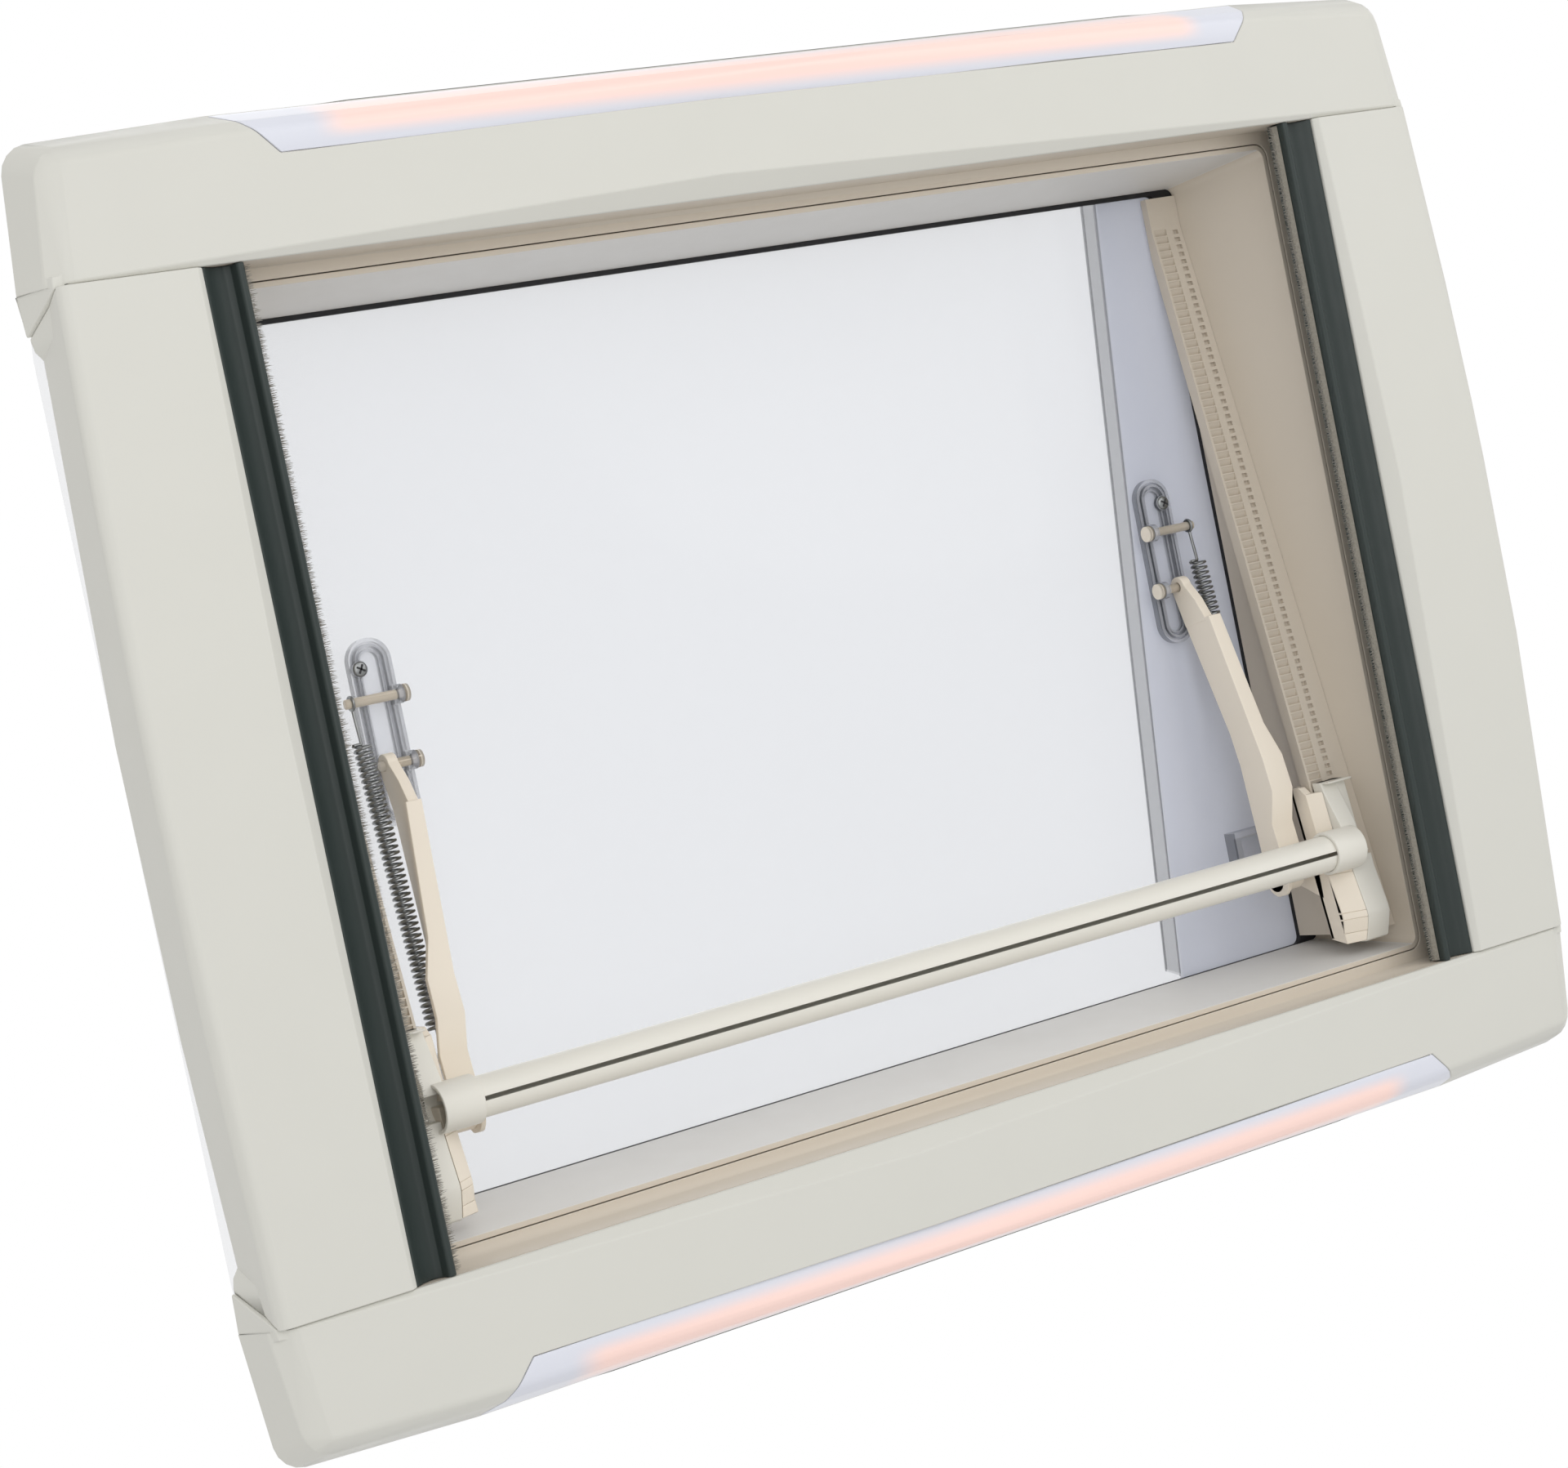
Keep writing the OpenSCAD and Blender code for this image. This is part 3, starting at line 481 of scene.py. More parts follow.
class ROOFHATCH_OT_covers(bpy.types.Operator):
    """Dress the clip-on covers, their lenses and the lamp strips"""
    bl_idname = "roofhatch.covers"
    bl_label = "Covers and Lenses"

    def execute(self, context):
        looks = context.scene.hatch_looks
        colours, edge = looks.colours, looks.sizes.edge
        plastic = moulded("Cover plastic", colours.cover, 0.45)
        for node in ("cover_hinge_side", "cover_handle_side") + sides("cover"):
            bm = merged_copy(node)
            round_edges(bm, edge * 1.4)
            self.bow(bm)
            if node in sides("cover"):
                self.shoulders(bm, side_of(node))
            finish_node(node, bm, plastic)
        for node in ("lens_hinge_side", "lens_handle_side"):
            low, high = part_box(node)
            opal = opal_lens("Opal lens " + node[5:].replace("_", " "), colours.lens, colours.glow,
                             high[0] - 46 * MM, (low[1] + high[1]) / 2, (high[1] - low[1]) * 0.36)
            bm = merged_copy(node)
            round_edges(bm, edge)
            self.bow(bm)
            finish_node(node, bm, opal)
        lamp = moulded("Lamp strip", colours.glow, 0.5, 0.02)
        for node in ("led_strip_hinge_side", "led_strip_handle_side"):
            dress(node, lamp, looks.sizes.fine_edge)
        return {"FINISHED"}

    def bow(self, bm):
        """Bows the outer walls of the end covers and draws in their end walls at the corners."""
        half_x, half_y = reach("cover_left", 0)[1], reach("cover_hinge_side", 1)[1]
        open_y = reach("cover_left", 1)[1]
        foot = reach("cover_left", 2)[1]
        sweep, flat = 9.1, 2.2
        corner_start, inset_foot, inset_more = 0.86, 6.5, 3.5
        bmesh.ops.triangulate(bm, faces=[face for face in bm.faces if len(face.verts) > 4])
        for vert in bm.verts:
            x, y, z = (value / MM for value in vert.co)
            across = part(abs(y), open_y, half_y)
            along = abs(x) / half_x
            inset_y = across * max(0.0, sweep * along ** 3 - flat * along ** 2)
            corner = part(along, corner_start, 1.0)
            inset_x = across * corner * (inset_foot + inset_more * part(z, foot, COVER_RIM))
            vert.co = Vector((x - inset_x * (1 if x > 0 else -1),
                              y - inset_y * (1 if y > 0 else -1), z)) * MM

    def shoulders(self, bm, side):
        """Lands of a side cover that carry on the line of the end covers' tongues."""
        far, foot = reach("cover_left", 0)[1], reach("cover_left", 2)[1]
        for turn in (1, -1):
            form = bmesh.new()
            for z, outline in (
                    (foot, ((-30, 211), (-7.5, 211), (-5, 214), (-2, 218), (-1, 223), (-1, 224.5),
                            (-30, 224.5))),
                    (COVER_RIM, ((-30, 217), (-12, 219), (-9, 223), (-9, 239.2), (-30, 239.2)))):
                for x, y in outline:
                    form.verts.new((far + x, turn * y, z))
            bmesh.ops.convex_hull(form, input=form.verts)
            settle(form, side)
            round_edges(form, 0.7 * MM)
            move_into(bm, form)


class ROOFHATCH_OT_frame(bpy.types.Operator):
    """Dress the inner frame, the liner, the roof frame, the gasket and the hinge rail"""
    bl_idname = "roofhatch.frame"
    bl_label = "Frame and Liner"

    def execute(self, context):
        looks = context.scene.hatch_looks
        colours, sizes = looks.colours, looks.sizes
        cream = moulded("Frame plastic", colours.liner, 0.4)
        for node in ("inner_frame", "roof_frame"):
            dress(node, cream, sizes.edge)
        self.liner(cream, moulded("Liner painted sky reflection", colours.sheen, 0.5), sizes)
        self.gasket(rubber_and_painted_shade("Gasket rubber", colours.rubber), sizes)
        dress("hinge_rail", drawn_metal("Aluminium", colours.metal, 0.35), sizes.fine_edge)
        return {"FINISHED"}

    def liner(self, cream, sheen, sizes):
        """The liner, whose front and back walls get a paler material than its ends, as a painted reflection
        of the sky.
        """
        bm = merged_copy("opening_liner")
        # Faces that face front or back take the paler material, a painted reflection of the sky
        for face in bm.faces:
            face.material_index = 1 if abs(face.normal.y) > 0.9 else 0
        round_edges(bm, sizes.edge)
        finish_node("opening_liner", bm, cream, sheen)

    def gasket(self, rubber, sizes):
        """The gasket, whose lip at the hinge side reaches in past the liner."""
        bm = merged_copy("dome_gasket")
        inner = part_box("dome_gasket")[1][1] - 11 * MM
        for vert in bm.verts:
            if 0 < vert.co.y < inner:
                vert.co.y -= 2.5 * MM * part(vert.co.y, 0, inner * 0.9)
        round_edges(bm, sizes.edge)
        finish_node("dome_gasket", bm, rubber)


class ROOFHATCH_OT_guides(bpy.types.Operator):
    """Dress the blind guides and their felt"""
    bl_idname = "roofhatch.guides"
    bl_label = "Blind Guides"

    def execute(self, context):
        looks = context.scene.hatch_looks
        dark = moulded("Guide plastic", looks.colours.guide, 0.34, 0.03, 0.05)
        pile = felt_pile("Felt", looks.colours.felt)
        for node in sides("blind_guide"):
            self.guide(node, dark)
        for node in sides("brush"):
            dress(node, pile, looks.sizes.fine_edge)
            self.tufts(node, pile, looks)
        return {"FINISHED"}

    def guide(self, node, dark):
        """A channel with a rounded lip, a slot beside it and a hollow outer band."""
        low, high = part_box(node)
        side = 1 if high[0] > 0 else -1
        inner, outer = sorted((abs(low[0]), abs(high[0])))
        foot, top = low[2], high[2]
        lip = 2.3 * MM
        outline = [
            (outer, foot + 1 * MM), (outer, top), (outer - 3 * MM, top),
            (outer - 3 * MM, foot + 16 * MM), (outer - 7 * MM, foot + 14.5 * MM),
            (inner + 0.3 * MM, foot + 14.5 * MM), (inner, foot + 13.5 * MM)]
        outline += arc(inner + lip, foot + 2.4 * MM, lip, 180, 352)
        outline += [(inner + 5.4 * MM, foot + 5.6 * MM), (inner + 7.6 * MM, foot + 7 * MM)]
        outline += arc(outer - 13.6 * MM, foot - 8 * MM, 15.2 * MM, 88, 46)
        outline += [(outer - 1.2 * MM, foot + 1.4 * MM)]
        bm = bmesh.new()
        loft(bm, [[(side * x, y, z) for x, z in outline] for y in (low[1], high[1])])
        bmesh.ops.recalc_face_normals(bm, faces=bm.faces)
        round_edges(bm, 0.35 * MM, 32)
        finish_node(node, bm, dark)

    def tufts(self, node, pile, looks):
        """Fine tapered hairs along the felt's edge."""
        low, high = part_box(node)
        side = 1 if high[0] > 0 else -1
        tip = min(abs(low[0]), abs(high[0]))
        noise.seed_set(looks.grain_seed)
        bm = bmesh.new()
        count = 1500
        for index in range(count):
            y = low[1] + (high[1] - low[1]) * (index + noise.random()) / count
            length = looks.sizes.tuft * (0.5 + 0.7 * noise.random())
            z = low[2] + (high[2] - low[2]) * (0.3 + 0.4 * noise.random())
            root = Vector((side * (tip + 0.8 * MM), y, z))
            end = root + Vector((-side * (length + 0.8 * MM), 1.2 * MM * (noise.random() - 0.5),
                                 1.6 * MM * (noise.random() - 0.5)))
            rod(bm, root, end, 0.22 * MM, 4, 0.06 * MM)
        finish_piece(node + "_tufts", bm, BODY_OF[node], SLOT_OF[node], [pile])


class ROOFHATCH_OT_racks(bpy.types.Operator):
    """Dress the toothed racks"""
    bl_idname = "roofhatch.racks"
    bl_label = "Racks"

    def execute(self, context):
        looks = context.scene.hatch_looks
        cream = moulded("Rack plastic", looks.colours.liner, 0.42)
        for node in sides("rack"):
            self.rack(node, cream)
        return {"FINISHED"}

    def rack(self, node, cream):
        """A rail on a wedge, with a row of ratchet teeth and a row of pockets."""
        m = Mechanism()
        inner = m.rack_in
        end_z = m.rack_z(m.rack_half) - 2.3
        flat_y = -m.rack_half + (end_z - m.rack_foot) / m.slope
        rail_y = -m.rack_half + (m.rack_top - m.rack_foot - m.rail) / m.slope
        rail_top = [(m.rack_half, m.rack_top), (rail_y, m.rack_top),
                    (-m.rack_half, m.rack_foot + m.rail)]
        deck_z = m.rack_z(m.rack_half) - 0.3
        wedge_top = [(m.rack_half, deck_z), (-m.rack_half, deck_z)]

        def comb(width, near, far, pitch=4.5):
            """The room side with a row of notches, as deep as near and far at their two ends."""
            outline = [(-m.rack_half, m.rack_foot)]
            for index in range(int((2 * m.rack_half - 20) / pitch)):
                y = 3 - m.rack_half + index * pitch
                if y + width < flat_y:
                    outline += [(y, m.rack_z(y)), (y, m.rack_z(y) + near),
                                (y + width, m.rack_z(y + width) + far), (y + width, m.rack_z(y + width))]
            return outline + [(flat_y, end_z), (m.rack_half, end_z)]

        plain = [(-m.rack_half, m.rack_foot), (flat_y, end_z), (m.rack_half, end_z)]
        teeth = comb(3.7, 2.2, 0.5)
        pockets = comb(2.5, 2.0, 2.0)
        bm = bmesh.new()
        for start, end, low, top in (
                (0, 1.6, plain, rail_top), (1.6, 8.5, teeth, rail_top), (8.5, 10.6, teeth, wedge_top),
                (10.6, 15.5, plain, wedge_top), (15.5, 19.5, pockets, wedge_top)):
            prism_x(bm, low + top, inner + start, inner + end)
        outline = plain + wedge_top
        loft(bm, [[(inner + 19.5, y, z) for y, z in outline],
                  [(m.rack_out + (m.rack_foot - z) * 0.22, y, z) for y, z in outline]])
        settle(bm, side_of(node))
        finish_node(node, bm, cream, crisp=True)


class ROOFHATCH_OT_dome(bpy.types.Operator):
    """Dress the dome's shell, its inner pane, the brackets, the lock tabs and the profile"""
    bl_idname = "roofhatch.dome"
    bl_label = "Dome"

    def execute(self, context):
        looks = context.scene.hatch_looks
        colours, sizes = looks.colours, looks.sizes
        clear = clear_acrylic("Dome acrylic", colours.acrylic, 0.12)
        dress("dome_shell", clear, sizes.edge * 2, 12)
        self.pane(colours)
        bright = clear_acrylic("Bracket acrylic", srgb(226, 229, 238), 0.3)
        # Dark grey acrylic for upright walls: painted shade of thick acrylic seen edge on
        walls = clear_acrylic("Bracket walls painted shade", srgb(84, 88, 96), 0.5)
        for node in sides("bracket") + sides("lock_tab"):
            self.clear_moulding(node, bright, walls, sizes.fine_edge)
        for node in sides("bracket"):
            self.bracket_screw(node, sizes, colours)
        dress("hinge_profile", drawn_metal("Profile aluminium", colours.metal, 0.35), sizes.fine_edge)
        return {"FINISHED"}

    def clear_moulding(self, node, bright, walls, edge):
        """A clear piece whose upright walls get a darker acrylic as painted shade, for the darkening of
        thick acrylic seen edge on.
        """
        bm = merged_copy(node)
        if node.startswith("bracket"):
            self.bracket_rings(bm, node)
        # Upright faces take the dark acrylic as painted shade; rounded edges go back to the clear one
        for face in bm.faces:
            face.material_index = 1 if abs(face.normal.z) < 0.5 else 0
        for face in round_edges(bm, edge):
            face.material_index = 0
        finish_node(node, bm, bright, walls)

    def bracket_rings(self, bm, node):
        """Adds the rims inside the bracket's outline and the boss of its screw."""
        low, high = (Vector(corner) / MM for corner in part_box(node))
        middle = (abs(low.x) + abs(high.x)) / 2
        top, width = high.z, high.x - low.x
        form = bmesh.new()
        for inset, thick, height in ((3.2, 1.3, 5.4), (5.8, 1.1, 3.6)):
            radius = width / 2 - inset
            first, last = low.y + inset + radius, high.y - inset - radius
            rings = []
            for z, size in ((top - height, radius), (top, radius), (top, radius - thick),
                            (top - height, radius - thick)):
                points = [(middle + size * cos(radians(turn)), last + size * sin(radians(turn)))
                          for turn in range(0, 181, 10)]
                points += [(middle + size * cos(radians(turn)), first + size * sin(radians(turn)))
                           for turn in range(180, 361, 10)]
                rings.append([form.verts.new((x, y, z)) for x, y in points])
            skin(form, rings + rings[:1])
        rod(form, (middle + 6.5, high.y - 15, top - 5), (middle + 6.5, high.y - 15, top - 2), 4.5, 32)
        settle(form, side_of(node))
        move_into(bm, form)

    def bracket_screw(self, node, sizes, colours):
        """The cross-head screw beside the bracket's pins, with a dark cross on its head as the painted
        shade of its recess.
        """
        low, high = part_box(node)
        side_gap, back_gap, drop = 5.5 * MM, 15 * MM, 5.2 * MM
        x = low[0] + side_gap if low[0] < 0 else high[0] - side_gap
        y, z = high[1] - back_gap, high[2] - drop
        bm = bmesh.new()
        radius = sizes.screw / 2
        rod(bm, (x, y, z), (x, y, z + 3 * MM), radius, 32)
        dome = bmesh.ops.create_uvsphere(bm, u_segments=32, v_segments=10, radius=radius)["verts"]
        bmesh.ops.scale(bm, vec=(1, 1, 0.35), verts=dome)
        bmesh.ops.translate(bm, vec=(x, y, z), verts=dome)
        steel = drawn_metal("Screw steel", colours.steel, 0.35)
        finish_piece(node + "_screw", bm, "dome", SLOT_OF[node], [steel])
        # A thin dark cross on the head's tip stands for the recess: painted shade, not a cut
        cross = bmesh.new()
        for turn in (30, 120):
            arm = bmesh.ops.create_cube(cross, size=1)["verts"]
            bmesh.ops.scale(cross, vec=(radius * 1.25, 0.9 * MM, 0.6 * MM), verts=arm)
            bmesh.ops.rotate(cross, verts=arm, matrix=Matrix.Rotation(radians(turn), 3, "Z"))
            bmesh.ops.translate(cross, vec=(x, y, z - radius * 0.35), verts=arm)
        # Dark matt material of the cross: painted shade of the recess
        dark = rubber_and_painted_shade("Screw recess painted shade", srgb(52, 52, 54))
        finish_piece(node + "_screw_recess_painted_shade", cross, "dome", SLOT_OF[node], [dark])

    def pane_form(self):
        """A plate with a raised field, whose left side lies past the opening."""
        low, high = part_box("inner_pane")
        half_x, half_y = reach("dome_gasket", 0)[1] - 25, reach("dome_gasket", 1)[1] - 12
        foot, thick, rise, draft = low[2] / MM, 3.0, 8.0, 3.5
        x, near_y, far_y, radius = high[0] / MM, low[1] / MM, high[1] / MM, 35.5
        outline = (arc(x - radius, far_y - radius, radius, 0, 90)
                   + arc(radius - x, far_y - radius, radius, 90, 180)
                   + arc(radius - x, near_y + radius, radius, 180, 270)
                   + arc(x - radius, near_y + radius, radius, 270, 360))

        def field(grown):
            return [(half_x + 5 + grown, half_y + 5 + grown), (41 - half_x - grown, half_y + 5 + grown),
                    (90 - half_x - grown, 2.5 - half_y - grown), (half_x + 5 + grown, 2.5 - half_y - grown)]

        bm = bmesh.new()

        def ring(points, z):
            verts = [bm.verts.new((px, py, z)) for px, py in points]
            edges = [bm.edges.new((verts[i - 1], verts[i])) for i in range(len(verts))]
            return verts, edges

        rims = [ring(outline, foot), ring(outline, foot + thick)]
        steps = [ring(field(0), foot), ring(field(-draft), foot + rise),
                 ring(field(1.5 - draft), foot + rise + thick), ring(field(1.5), foot + thick)]
        for rim, step in ((rims[0], steps[0]), (rims[1], steps[3])):
            bmesh.ops.triangle_fill(bm, edges=rim[1] + step[1], use_beauty=True)
        for near, far in (rims, steps[:2], steps[2:]):
            skin(bm, (near[0], far[0]))
        bm.faces.new(steps[1][0])
        bm.faces.new(steps[2][0])
        settle(bm, 1)
        bmesh.ops.dissolve_limit(bm, angle_limit=radians(1), verts=bm.verts, edges=bm.edges)
        return bm

    def pane(self, colours):
        """The inner pane: clear in front of the field, cloudy past its slanted right rib, with the rib in
        grey acrylic and dark lines along its ridge as painted shade.
        """
        bm = self.pane_form()
        slanted = [face for face in bm.faces
                   if 0.2 < abs(face.normal.z) < 0.98 and face.calc_center_median().x < 0
                   and face.normal.x < -abs(face.normal.y)]
        corners = [vert.co.copy() for face in slanted for vert in face.verts]
        front = min(corners, key=lambda corner: (round(corner.y, 4), corner.x))
        back = max(corners, key=lambda corner: (round(corner.y, 4), -corner.x))
        line = Vector((back.x - front.x, back.y - front.y, 0)).normalized()
        across = Vector((-line.y, line.x, 0))
        bmesh.ops.bisect_plane(bm, geom=bm.verts[:] + bm.edges[:] + bm.faces[:], dist=0.01 * MM,
                               plane_co=front, plane_no=across)
        clear, cloudy, rib, painted_shade_line = range(4)
        for face in bm.faces:
            past = (face.calc_center_median() - front).dot(across)
            if past > 0.3 * MM:
                face.material_index = cloudy
            # Slanted faces just before the rib's line take the grey acrylic as painted shade
            elif past > -12 * MM and abs(face.normal.z) < 0.98:
                face.material_index = rib
            else:
                face.material_index = clear
        # The rib's long ridge edges are rounded into dark lines: painted shade
        ridge = [edge for edge in bm.edges
                 if len(edge.link_faces) == 2 and edge.calc_length() > 100 * MM
                 and sorted(face.material_index == rib for face in edge.link_faces) == [False, True]]
        for face in bevel_edges(bm, ridge, 0.55 * MM):
            face.material_index = painted_shade_line
        finish_node("inner_pane", bm,
                    clear_acrylic("Pane acrylic", colours.acrylic, 0.10),
                    clear_acrylic("Pane flange acrylic", colours.flange, 0.6),
                    clear_acrylic("Pane rib painted shade acrylic", colours.rib, 0.35),
                    clear_acrylic("Pane rib painted shade lines", srgb(70, 74, 82), 0.6))


class ROOFHATCH_OT_arms(bpy.types.Operator):
    """Dress the lifting arms and their pins"""
    bl_idname = "roofhatch.arms"
    bl_label = "Arms and Pins"

    def execute(self, context):
        looks = context.scene.hatch_looks
        cream = moulded("Arm plastic", looks.colours.arm, 0.4)
        for node in sides("arm_pin") + sides("spring_pin"):
            dress(node, cream, looks.sizes.edge)
        for node in sides("arm"):
            self.arm(node, cream, looks.sizes)
        return {"FINISHED"}

    def arm(self, node, cream, sizes):
        """A flat tongue at the upper pin, then a tall wall with a web on the room side."""
        m = Mechanism()
        run, drop = m.pin_y - m.end_y, m.pin_z - m.end_z
        length, slope = hypot(run, drop), atan(drop / run)
        inner = m.rack_in - 36
        outer = inner + 6
        wall = outer + 5
        thick, web = 2.8, 3.0
        low, end_low, bend = -20.0, -11.5, length - 50
        tip, tip_n = 9.75, -1.75

        bm = bmesh.new()
        tongue = arc(0, 0, 6, 90, 270, 16)
        tongue += [(10, -12), (24, low + 3), (24, 3)]
        hole = arc(0, 0, 2.6, 450, 90, 24)
        prism_x(bm, tongue + [(0, 6)] + hole, inner, outer)

        # Along the arm the wall starts to lean out at one place and stands at the next
        leaves, stands = 22, 110
        stations = [(leaves, low, 3), (90, low, 0), (stands, low, 1.4), (bend, low, 2.9),
                    (bend + 18, end_low, 4.1), (length - 20, end_low, 5), (length, end_low, 8)]
        for turn in (75, 60, 45, 30, 15):
            height = tip * sin(radians(turn))
            stations.append((length + tip * cos(radians(turn)), tip_n - height, tip_n + height))
        webs = (outer + 3, m.lane_out - 7, m.lane_out - 0.5) + (m.lane_out,) * 4
        rings = []
        for index, (u, bottom, top) in enumerate(stations):
            lean = part(u, leaves, stands)
            near = inner + (wall - thick - inner) * lean
            far = outer + (wall - outer) * lean
            if index < len(webs):
                edge, height = webs[index], bottom + web
                rings.append([(near, u, bottom), (edge, u, bottom), (edge, u, height),
                              (far, u, height), (far, u, top), (near, u, top)])
            if index == len(webs) - 1:
                loft(bm, rings)
                rings = []
            if index >= len(webs) - 1:
                rings.append([(near, u, bottom), (far, u, bottom), (far, u, top), (near, u, top)])
        loft(bm, rings)
        tube_x(bm, wall - thick, m.lane_out, length, 0, 7, 2.6)
        block(bm, (wall - 1, m.lane_out - 4.4), (length - 31.5, length - 28.5), (-1.5, 1.5))
        for vert in bm.verts:
            x, u, n = vert.co
            vert.co = (x, m.pin_y - u * cos(slope) - n * sin(slope),
                       m.pin_z - u * sin(slope) + n * cos(slope))
        settle(bm, side_of(node))
        round_edges(bm, sizes.edge)
        finish_node(node, bm, cream, crisp=True)


class ROOFHATCH_OT_springs(bpy.types.Operator):
    """Wind the lifting springs"""
    bl_idname = "roofhatch.springs"
    bl_label = "Springs"

    def execute(self, context):
        looks = context.scene.hatch_looks
        steel = drawn_metal("Spring steel", looks.colours.steel, 0.3)
        for side in ("left", "right"):
            self.wind(side, looks.sizes, steel)
        return {"FINISHED"}

    def wind(self, side, sizes, steel):
        """A coil with an eye at each end, along its own +Z from the upper pin to the arm."""
        low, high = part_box("spring_" + side)
        pin = centre("spring_pin_" + side)
        pin_radius, steps = 2.5 * MM, 14
        wire = sizes.wire / 2
        eye_top = pin_radius + wire
        eye_end = eye_top - 0.5 * MM
        top = Vector(((low[0] + high[0]) / 2, pin.y, pin.z))
        end = Vector((top.x, low[1] + eye_end + wire, low[2] + eye_end + wire))
        length = (end - top).length
        radius = (sizes.coil - sizes.wire) / 2
        start, stop = 21 * MM, length - 16 * MM
        turns = int((stop - start) / sizes.pitch)

        bm = bmesh.new()
        ring = bmesh.ops.create_circle(bm, segments=8, radius=wire)["verts"]
        bmesh.ops.rotate(bm, verts=ring, matrix=Matrix.Rotation(pi / 2, 3, "X"))
        bmesh.ops.translate(bm, verts=ring, vec=(radius, 0, start))
        edges = list({edge for vert in ring for edge in vert.link_edges})
        bmesh.ops.spin(bm, geom=edges, cent=(0, 0, 0), axis=(0, 0, 1),
                       dvec=(0, 0, (stop - start) / (turns * steps)),
                       angle=2 * pi * turns, steps=turns * steps, use_merge=False)
        holes = [edge for edge in bm.edges if edge.is_boundary]
        bmesh.ops.holes_fill(bm, edges=holes, sides=12)
        for at, eye in ((0.0, eye_top), (length, eye_end)):
            loop = bmesh.ops.create_circle(bm, segments=8, radius=wire)["verts"]
            bmesh.ops.translate(bm, verts=loop, vec=(0, 0, eye))
            bmesh.ops.rotate(bm, verts=loop, matrix=Matrix.Rotation(pi / 2, 3, "Z"))
            bmesh.ops.rotate(bm, verts=loop, cent=(0, 0, eye), matrix=Matrix.Rotation(pi / 2, 3, "X"))
            bmesh.ops.translate(bm, verts=loop, vec=(0, 0, at))
            rim = list({edge for vert in loop for edge in vert.link_edges})
            bmesh.ops.spin(bm, geom=rim, cent=(0, 0, at), axis=(1, 0, 0), dvec=(0, 0, 0),
                           angle=2 * pi, steps=24, use_merge=True)
        rod(bm, (0, 0, eye_top), (0, 0, start), wire, 8)
        rod(bm, (0, 0, start), (radius, 0, start), wire, 8)
        rod(bm, (0, 0, stop), (0, 0, length - eye_end), wire, 8)
        rod(bm, (0, 0, stop), (radius, 0, stop), wire, 8)
        bmesh.ops.remove_doubles(bm, verts=bm.verts, dist=0.001 * MM)
        bmesh.ops.recalc_face_normals(bm, faces=bm.faces)

        along = (end - top).normalized()
        across = Vector((1, 0, 0))
        turn = Matrix((across, along.cross(across), along)).transposed().to_4x4()
        bmesh.ops.transform(bm, matrix=Matrix.Translation(top) @ turn, verts=bm.verts)
        node = "spring_" + side
        piece = finish_piece(node + "_coil", bm, "springs", SLOT_OF[node], [steel], [node])
        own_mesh(piece)


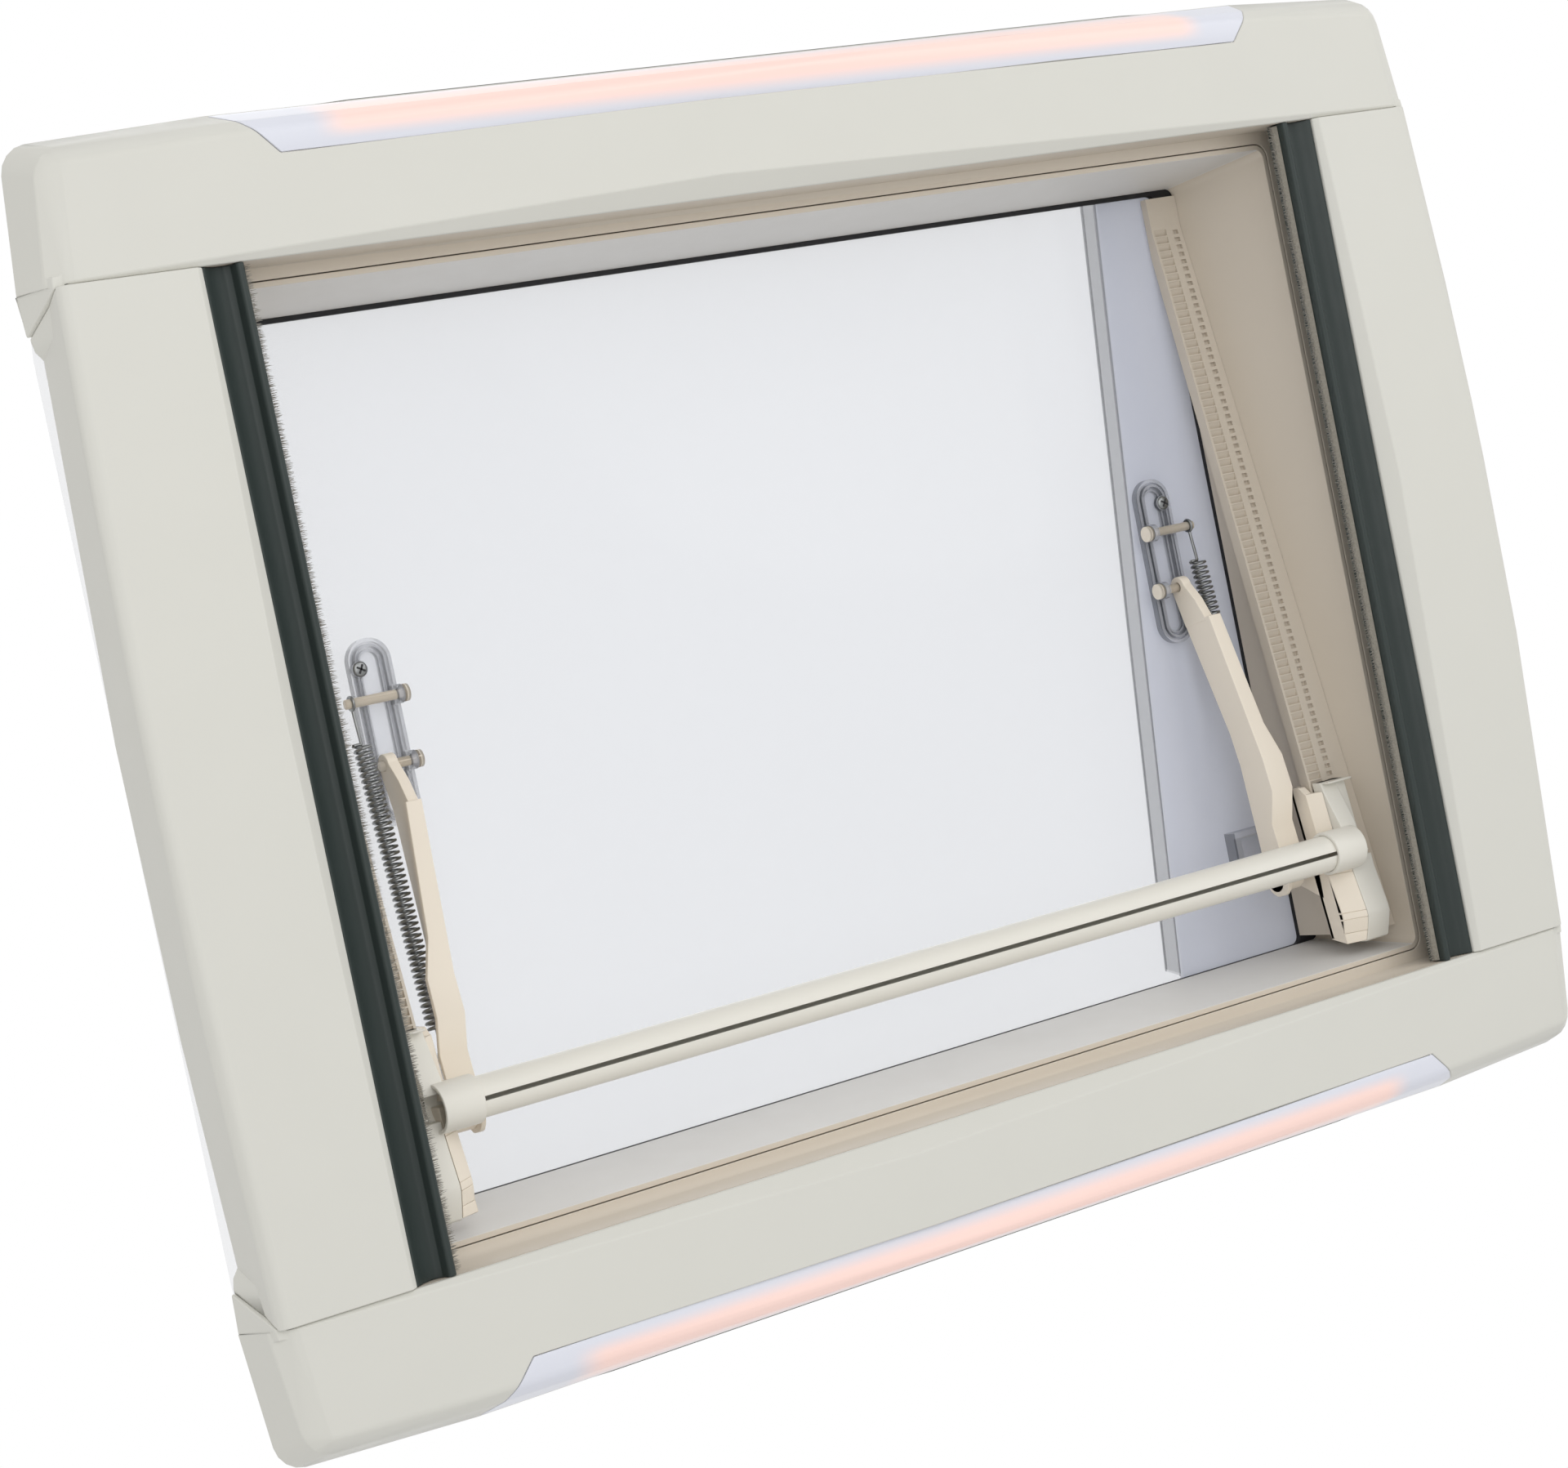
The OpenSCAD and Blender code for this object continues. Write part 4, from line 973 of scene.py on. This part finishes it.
class ROOFHATCH_OT_handle(bpy.types.Operator):
    """Dress the handle bar, its carriages and their cheeks"""
    bl_idname = "roofhatch.handle"
    bl_label = "Handle"

    def execute(self, context):
        looks = context.scene.hatch_looks
        white = moulded("Handle plastic", looks.colours.handle, 0.32, 0.01, 0.02)
        cream = moulded("Cheek plastic", looks.colours.arm, 0.38)
        m = Mechanism()
        low_face = [(m.bar_y + y, m.bar_z + z) for y, z in (
            (-6.6, 1.5), (-14, 0.7), (-37, -4.7), (-41, -5), (-49, -2.2), (-55, 0.3), (-56, 2))]
        self.bar(m, white)
        for side in ("left", "right"):
            self.carriage("carriage_" + side, m, low_face, white, looks.sizes)
            self.cheek("cheek_" + side, m, low_face, cream, looks.sizes)
        return {"FINISHED"}

    def bar(self, m, white):
        """A tube with a slot along its room side."""
        slot, wall = 1.2, 2.0
        bm = bmesh.new()
        outer, inner = degrees(asin(slot / m.bar_r)), degrees(asin(slot / (m.bar_r - wall)))
        outline = arc(m.bar_y, m.bar_z, m.bar_r, outer - 90, 270 - outer, 48)
        outline += arc(m.bar_y, m.bar_z, m.bar_r - wall, 270 - inner, inner - 90, 48)
        prism_x(bm, outline, -m.bar_end, m.bar_end)
        settle(bm, 1)
        finish_node("handle_bar", bm, white, crisp=True)

    def carriage(self, node, m, low_face, white, sizes):
        """A shoe under the rack with a collar round the bar's end."""
        y, z = m.bar_y, m.bar_z
        front, back, shelf = y - 6.6, y + 39, y - 4
        spine_in, spine_out = m.rack_in + 1.3, m.rack_in + 13
        seam = m.rack_in + 5 + m.seat
        web = spine_out + 6
        end_top = m.rack_foot - m.gap
        collar_in, collar_out = m.cheek_in - 8, m.cheek_in + 14
        bm = bmesh.new()
        prism_x(bm, [(low_face[-1][0], end_top), (-m.rack_half, end_top), m.under(front)] + low_face,
                seam, m.carriage_out)
        prism_x(bm, [m.under(back), m.under(y + 7), (y + 7, z - 1), (y + 12, z - 1), (back - 5, z + 8.5),
                     (back - 1, z + 9.6), (back, z + 11)], spine_in, spine_out)
        prism_x(bm, [m.under(back), m.under(front - 1), m.under(front - 1, 3), m.under(shelf, 3),
                     m.under(shelf, 8), m.under(back, 8)], spine_out - 1, web)
        block(bm, (spine_in + 1, web + 1.5), (back - 1.2, back), (z + 4, m.under(back - 1.2)[1]))
        block(bm, (spine_out - 2, m.carriage_out), (shelf - 1.3, shelf), (z + 3, m.under(shelf - 1.3)[1]))
        block(bm, (seam, collar_out), (y - 4, y + 8), (z + m.bar_r, m.under(y - 4)[1]))
        tube_x(bm, collar_in, collar_out, y, z, m.bar_r + 2, m.bar_r + 0.05)
        settle(bm, side_of(node))
        round_edges(bm, sizes.edge)
        finish_node(node, bm, white, crisp=True)

    def cheek(self, node, m, low_face, cream, sizes):
        """The carriage's inner plate, its hook over the rail and the ear of the arm."""
        y, z = m.bar_y, m.bar_z
        back, hook_end = y + 38, y - 52
        seam = m.rack_in + 5
        low = [(y + 34, z + 9), (y + 2, z + 5), (y, z + 1.5)] + low_face[1:6]

        def inside(point):
            return min(point[1] + 9, m.under(point[0])[1] - 0.5)

        def span(bm, near, far, x):
            loft(bm, [[(m.cheek_in, p[0], inside(p)), (x, p[0], p[1]), (x, *m.under(p[0])),
                       (m.cheek_in, *m.under(p[0]))] for p in (near, far)])

        bm = bmesh.new()
        span(bm, low[0], low[1], m.rack_in + 1)
        for near, far in zip(low[2:], low[3:]):
            span(bm, near, far, seam)
        hook = m.rail + m.gap
        hook_back, hook_front = m.rack_z(back) + hook, m.rack_z(hook_end) + hook
        prism_x(bm, [(back, hook_back + 3), (back, z + 21)]
                + [(p[0], inside(p) + 0.2) for p in low]
                + [(hook_end, hook_front + 3)], m.cheek_in, m.cheek_in + 5)
        prism_x(bm, [(back, hook_back), (back, hook_back + 3), (hook_end, hook_front + 3),
                     (hook_end, hook_front)], m.cheek_in, seam)
        top = m.end_z + 10
        prism_x(bm, [(m.end_y + 16, z + 17), (m.end_y - 16, z + 17), (m.end_y - 7, top - 4),
                     (m.end_y - 3, top), (m.end_y + 3, top), (m.end_y + 7, top - 4)],
                m.cheek_in, m.cheek_in + 3)
        rod(bm, (m.lane_out + m.gap, m.end_y, m.end_z), (m.cheek_in + 1, m.end_y, m.end_z), 2.5, 32)
        settle(bm, side_of(node))
        round_edges(bm, sizes.edge)
        finish_node(node, bm, cream, crisp=True)


class ROOFHATCH_OT_stage(bpy.types.Operator):
    """Set the floor, the soft light and the camera"""
    bl_idname = "roofhatch.stage"
    bl_label = "Stage"

    def execute(self, context):
        scene = context.scene
        scene.view_settings.view_transform = "Standard"
        self.floor(scene)
        self.world(scene)
        self.lamp("Room lamp left", (0.6, 0.5, -2.1), (0, 0, 0.02), 2.4, 18.0)
        self.lamp("Room lamp right", (-1.5, 1.0, -1.7), (0, 0, 0.02), 2.2, 12.0)
        self.lamp("Sky lamp", (-0.6, 0.5, 2.6), (0, 0, 0.05), 3.0, 22.0)
        self.camera(scene)
        return {"FINISHED"}

    def floor(self, scene):
        bm = bmesh.new()
        bmesh.ops.create_grid(bm, x_segments=1, y_segments=1, size=15)
        bmesh.ops.translate(bm, verts=bm.verts, vec=(0, 0, -scene.hatch_looks.sizes.floor_drop))
        mesh = bpy.data.meshes.new("floor")
        bm.to_mesh(mesh)
        bm.free()
        material, _, shader = new_material("Floor")
        fill(shader, Base_Color=srgb(236, 236, 235) + (1.0,), Roughness=0.9)
        mesh.materials.append(material)
        floor = bpy.data.objects.new("floor", mesh)
        scene.collection.objects.link(floor)

    def world(self, scene):
        world = scene.world or bpy.data.worlds.new("Studio")
        scene.world = world
        world.use_nodes = True
        tree = world.node_tree
        tree.nodes.clear()
        rays = tree.nodes.new("ShaderNodeLightPath").outputs
        seen = computed(tree, "MAXIMUM", rays["Is Camera Ray"], rays["Is Glossy Ray"])
        seen = computed(tree, "MAXIMUM", seen, rays["Is Transmission Ray"])
        background = add_node(tree, "ShaderNodeBackground",
                              Color=mixed(tree, seen, (0.74, 0.74, 0.75, 1.0), (1.0, 1.0, 1.0, 1.0)))
        add_node(tree, "ShaderNodeOutputWorld", Surface=background.outputs["Background"])

    def lamp(self, name, place, target, size, power):
        light = bpy.data.lights.new(name, "AREA")
        light.shape = "DISK"
        light.size = size
        light.energy = power
        lamp = bpy.data.objects.new(name, light)
        lamp.location = place
        aim = Vector(target) - Vector(place)
        lamp.rotation_euler = aim.to_track_quat("-Z", "Y").to_euler()
        bpy.context.scene.collection.objects.link(lamp)

    def camera(self, scene):
        view = bpy.data.cameras.new("Camera")
        view.sensor_width = 36.0
        view.sensor_fit = "HORIZONTAL"
        view.lens = 78.80
        view.clip_start = 0.05
        view.clip_end = 100.0
        camera = bpy.data.objects.new("Camera", view)
        camera.location = (1.00979, 0.05384, -1.46735)
        camera.rotation_euler = Euler((radians(-175.49027), radians(31.89872), radians(-166.37089)))
        scene.collection.objects.link(camera)
        scene.camera = camera


class ROOFHATCH_PT_panel(bpy.types.Panel):
    """Lists the steps of the roof hatch"""
    bl_idname = "ROOFHATCH_PT_panel"
    bl_label = "Roof Hatch"
    bl_space_type = "VIEW_3D"
    bl_region_type = "UI"
    bl_category = "Roof Hatch"

    def draw(self, context):
        looks = context.scene.hatch_looks
        layout = self.layout
        for group in (looks.colours, looks.sizes):
            box = layout.box()
            for name in type(group).__annotations__:
                box.prop(group, name)
        for step in STEPS:
            layout.operator(step.bl_idname)


STEPS = (
    ROOFHATCH_OT_covers,
    ROOFHATCH_OT_frame,
    ROOFHATCH_OT_guides,
    ROOFHATCH_OT_racks,
    ROOFHATCH_OT_dome,
    ROOFHATCH_OT_arms,
    ROOFHATCH_OT_springs,
    ROOFHATCH_OT_handle,
    ROOFHATCH_OT_stage,
)
CLASSES = (HatchColours, HatchSizes, HatchLooks) + STEPS + (ROOFHATCH_PT_panel,)


def register():
    for cls in CLASSES:
        bpy.utils.register_class(cls)
    bpy.types.Scene.hatch_looks = PointerProperty(type=HatchLooks)


def unregister():
    del bpy.types.Scene.hatch_looks
    for cls in reversed(CLASSES):
        bpy.utils.unregister_class(cls)


def main():
    register()
    bpy.ops.roofhatch.covers()
    bpy.ops.roofhatch.frame()
    bpy.ops.roofhatch.guides()
    bpy.ops.roofhatch.racks()
    bpy.ops.roofhatch.dome()
    bpy.ops.roofhatch.arms()
    bpy.ops.roofhatch.springs()
    bpy.ops.roofhatch.handle()
    bpy.ops.roofhatch.stage()


if __name__ == "__main__":
    main()
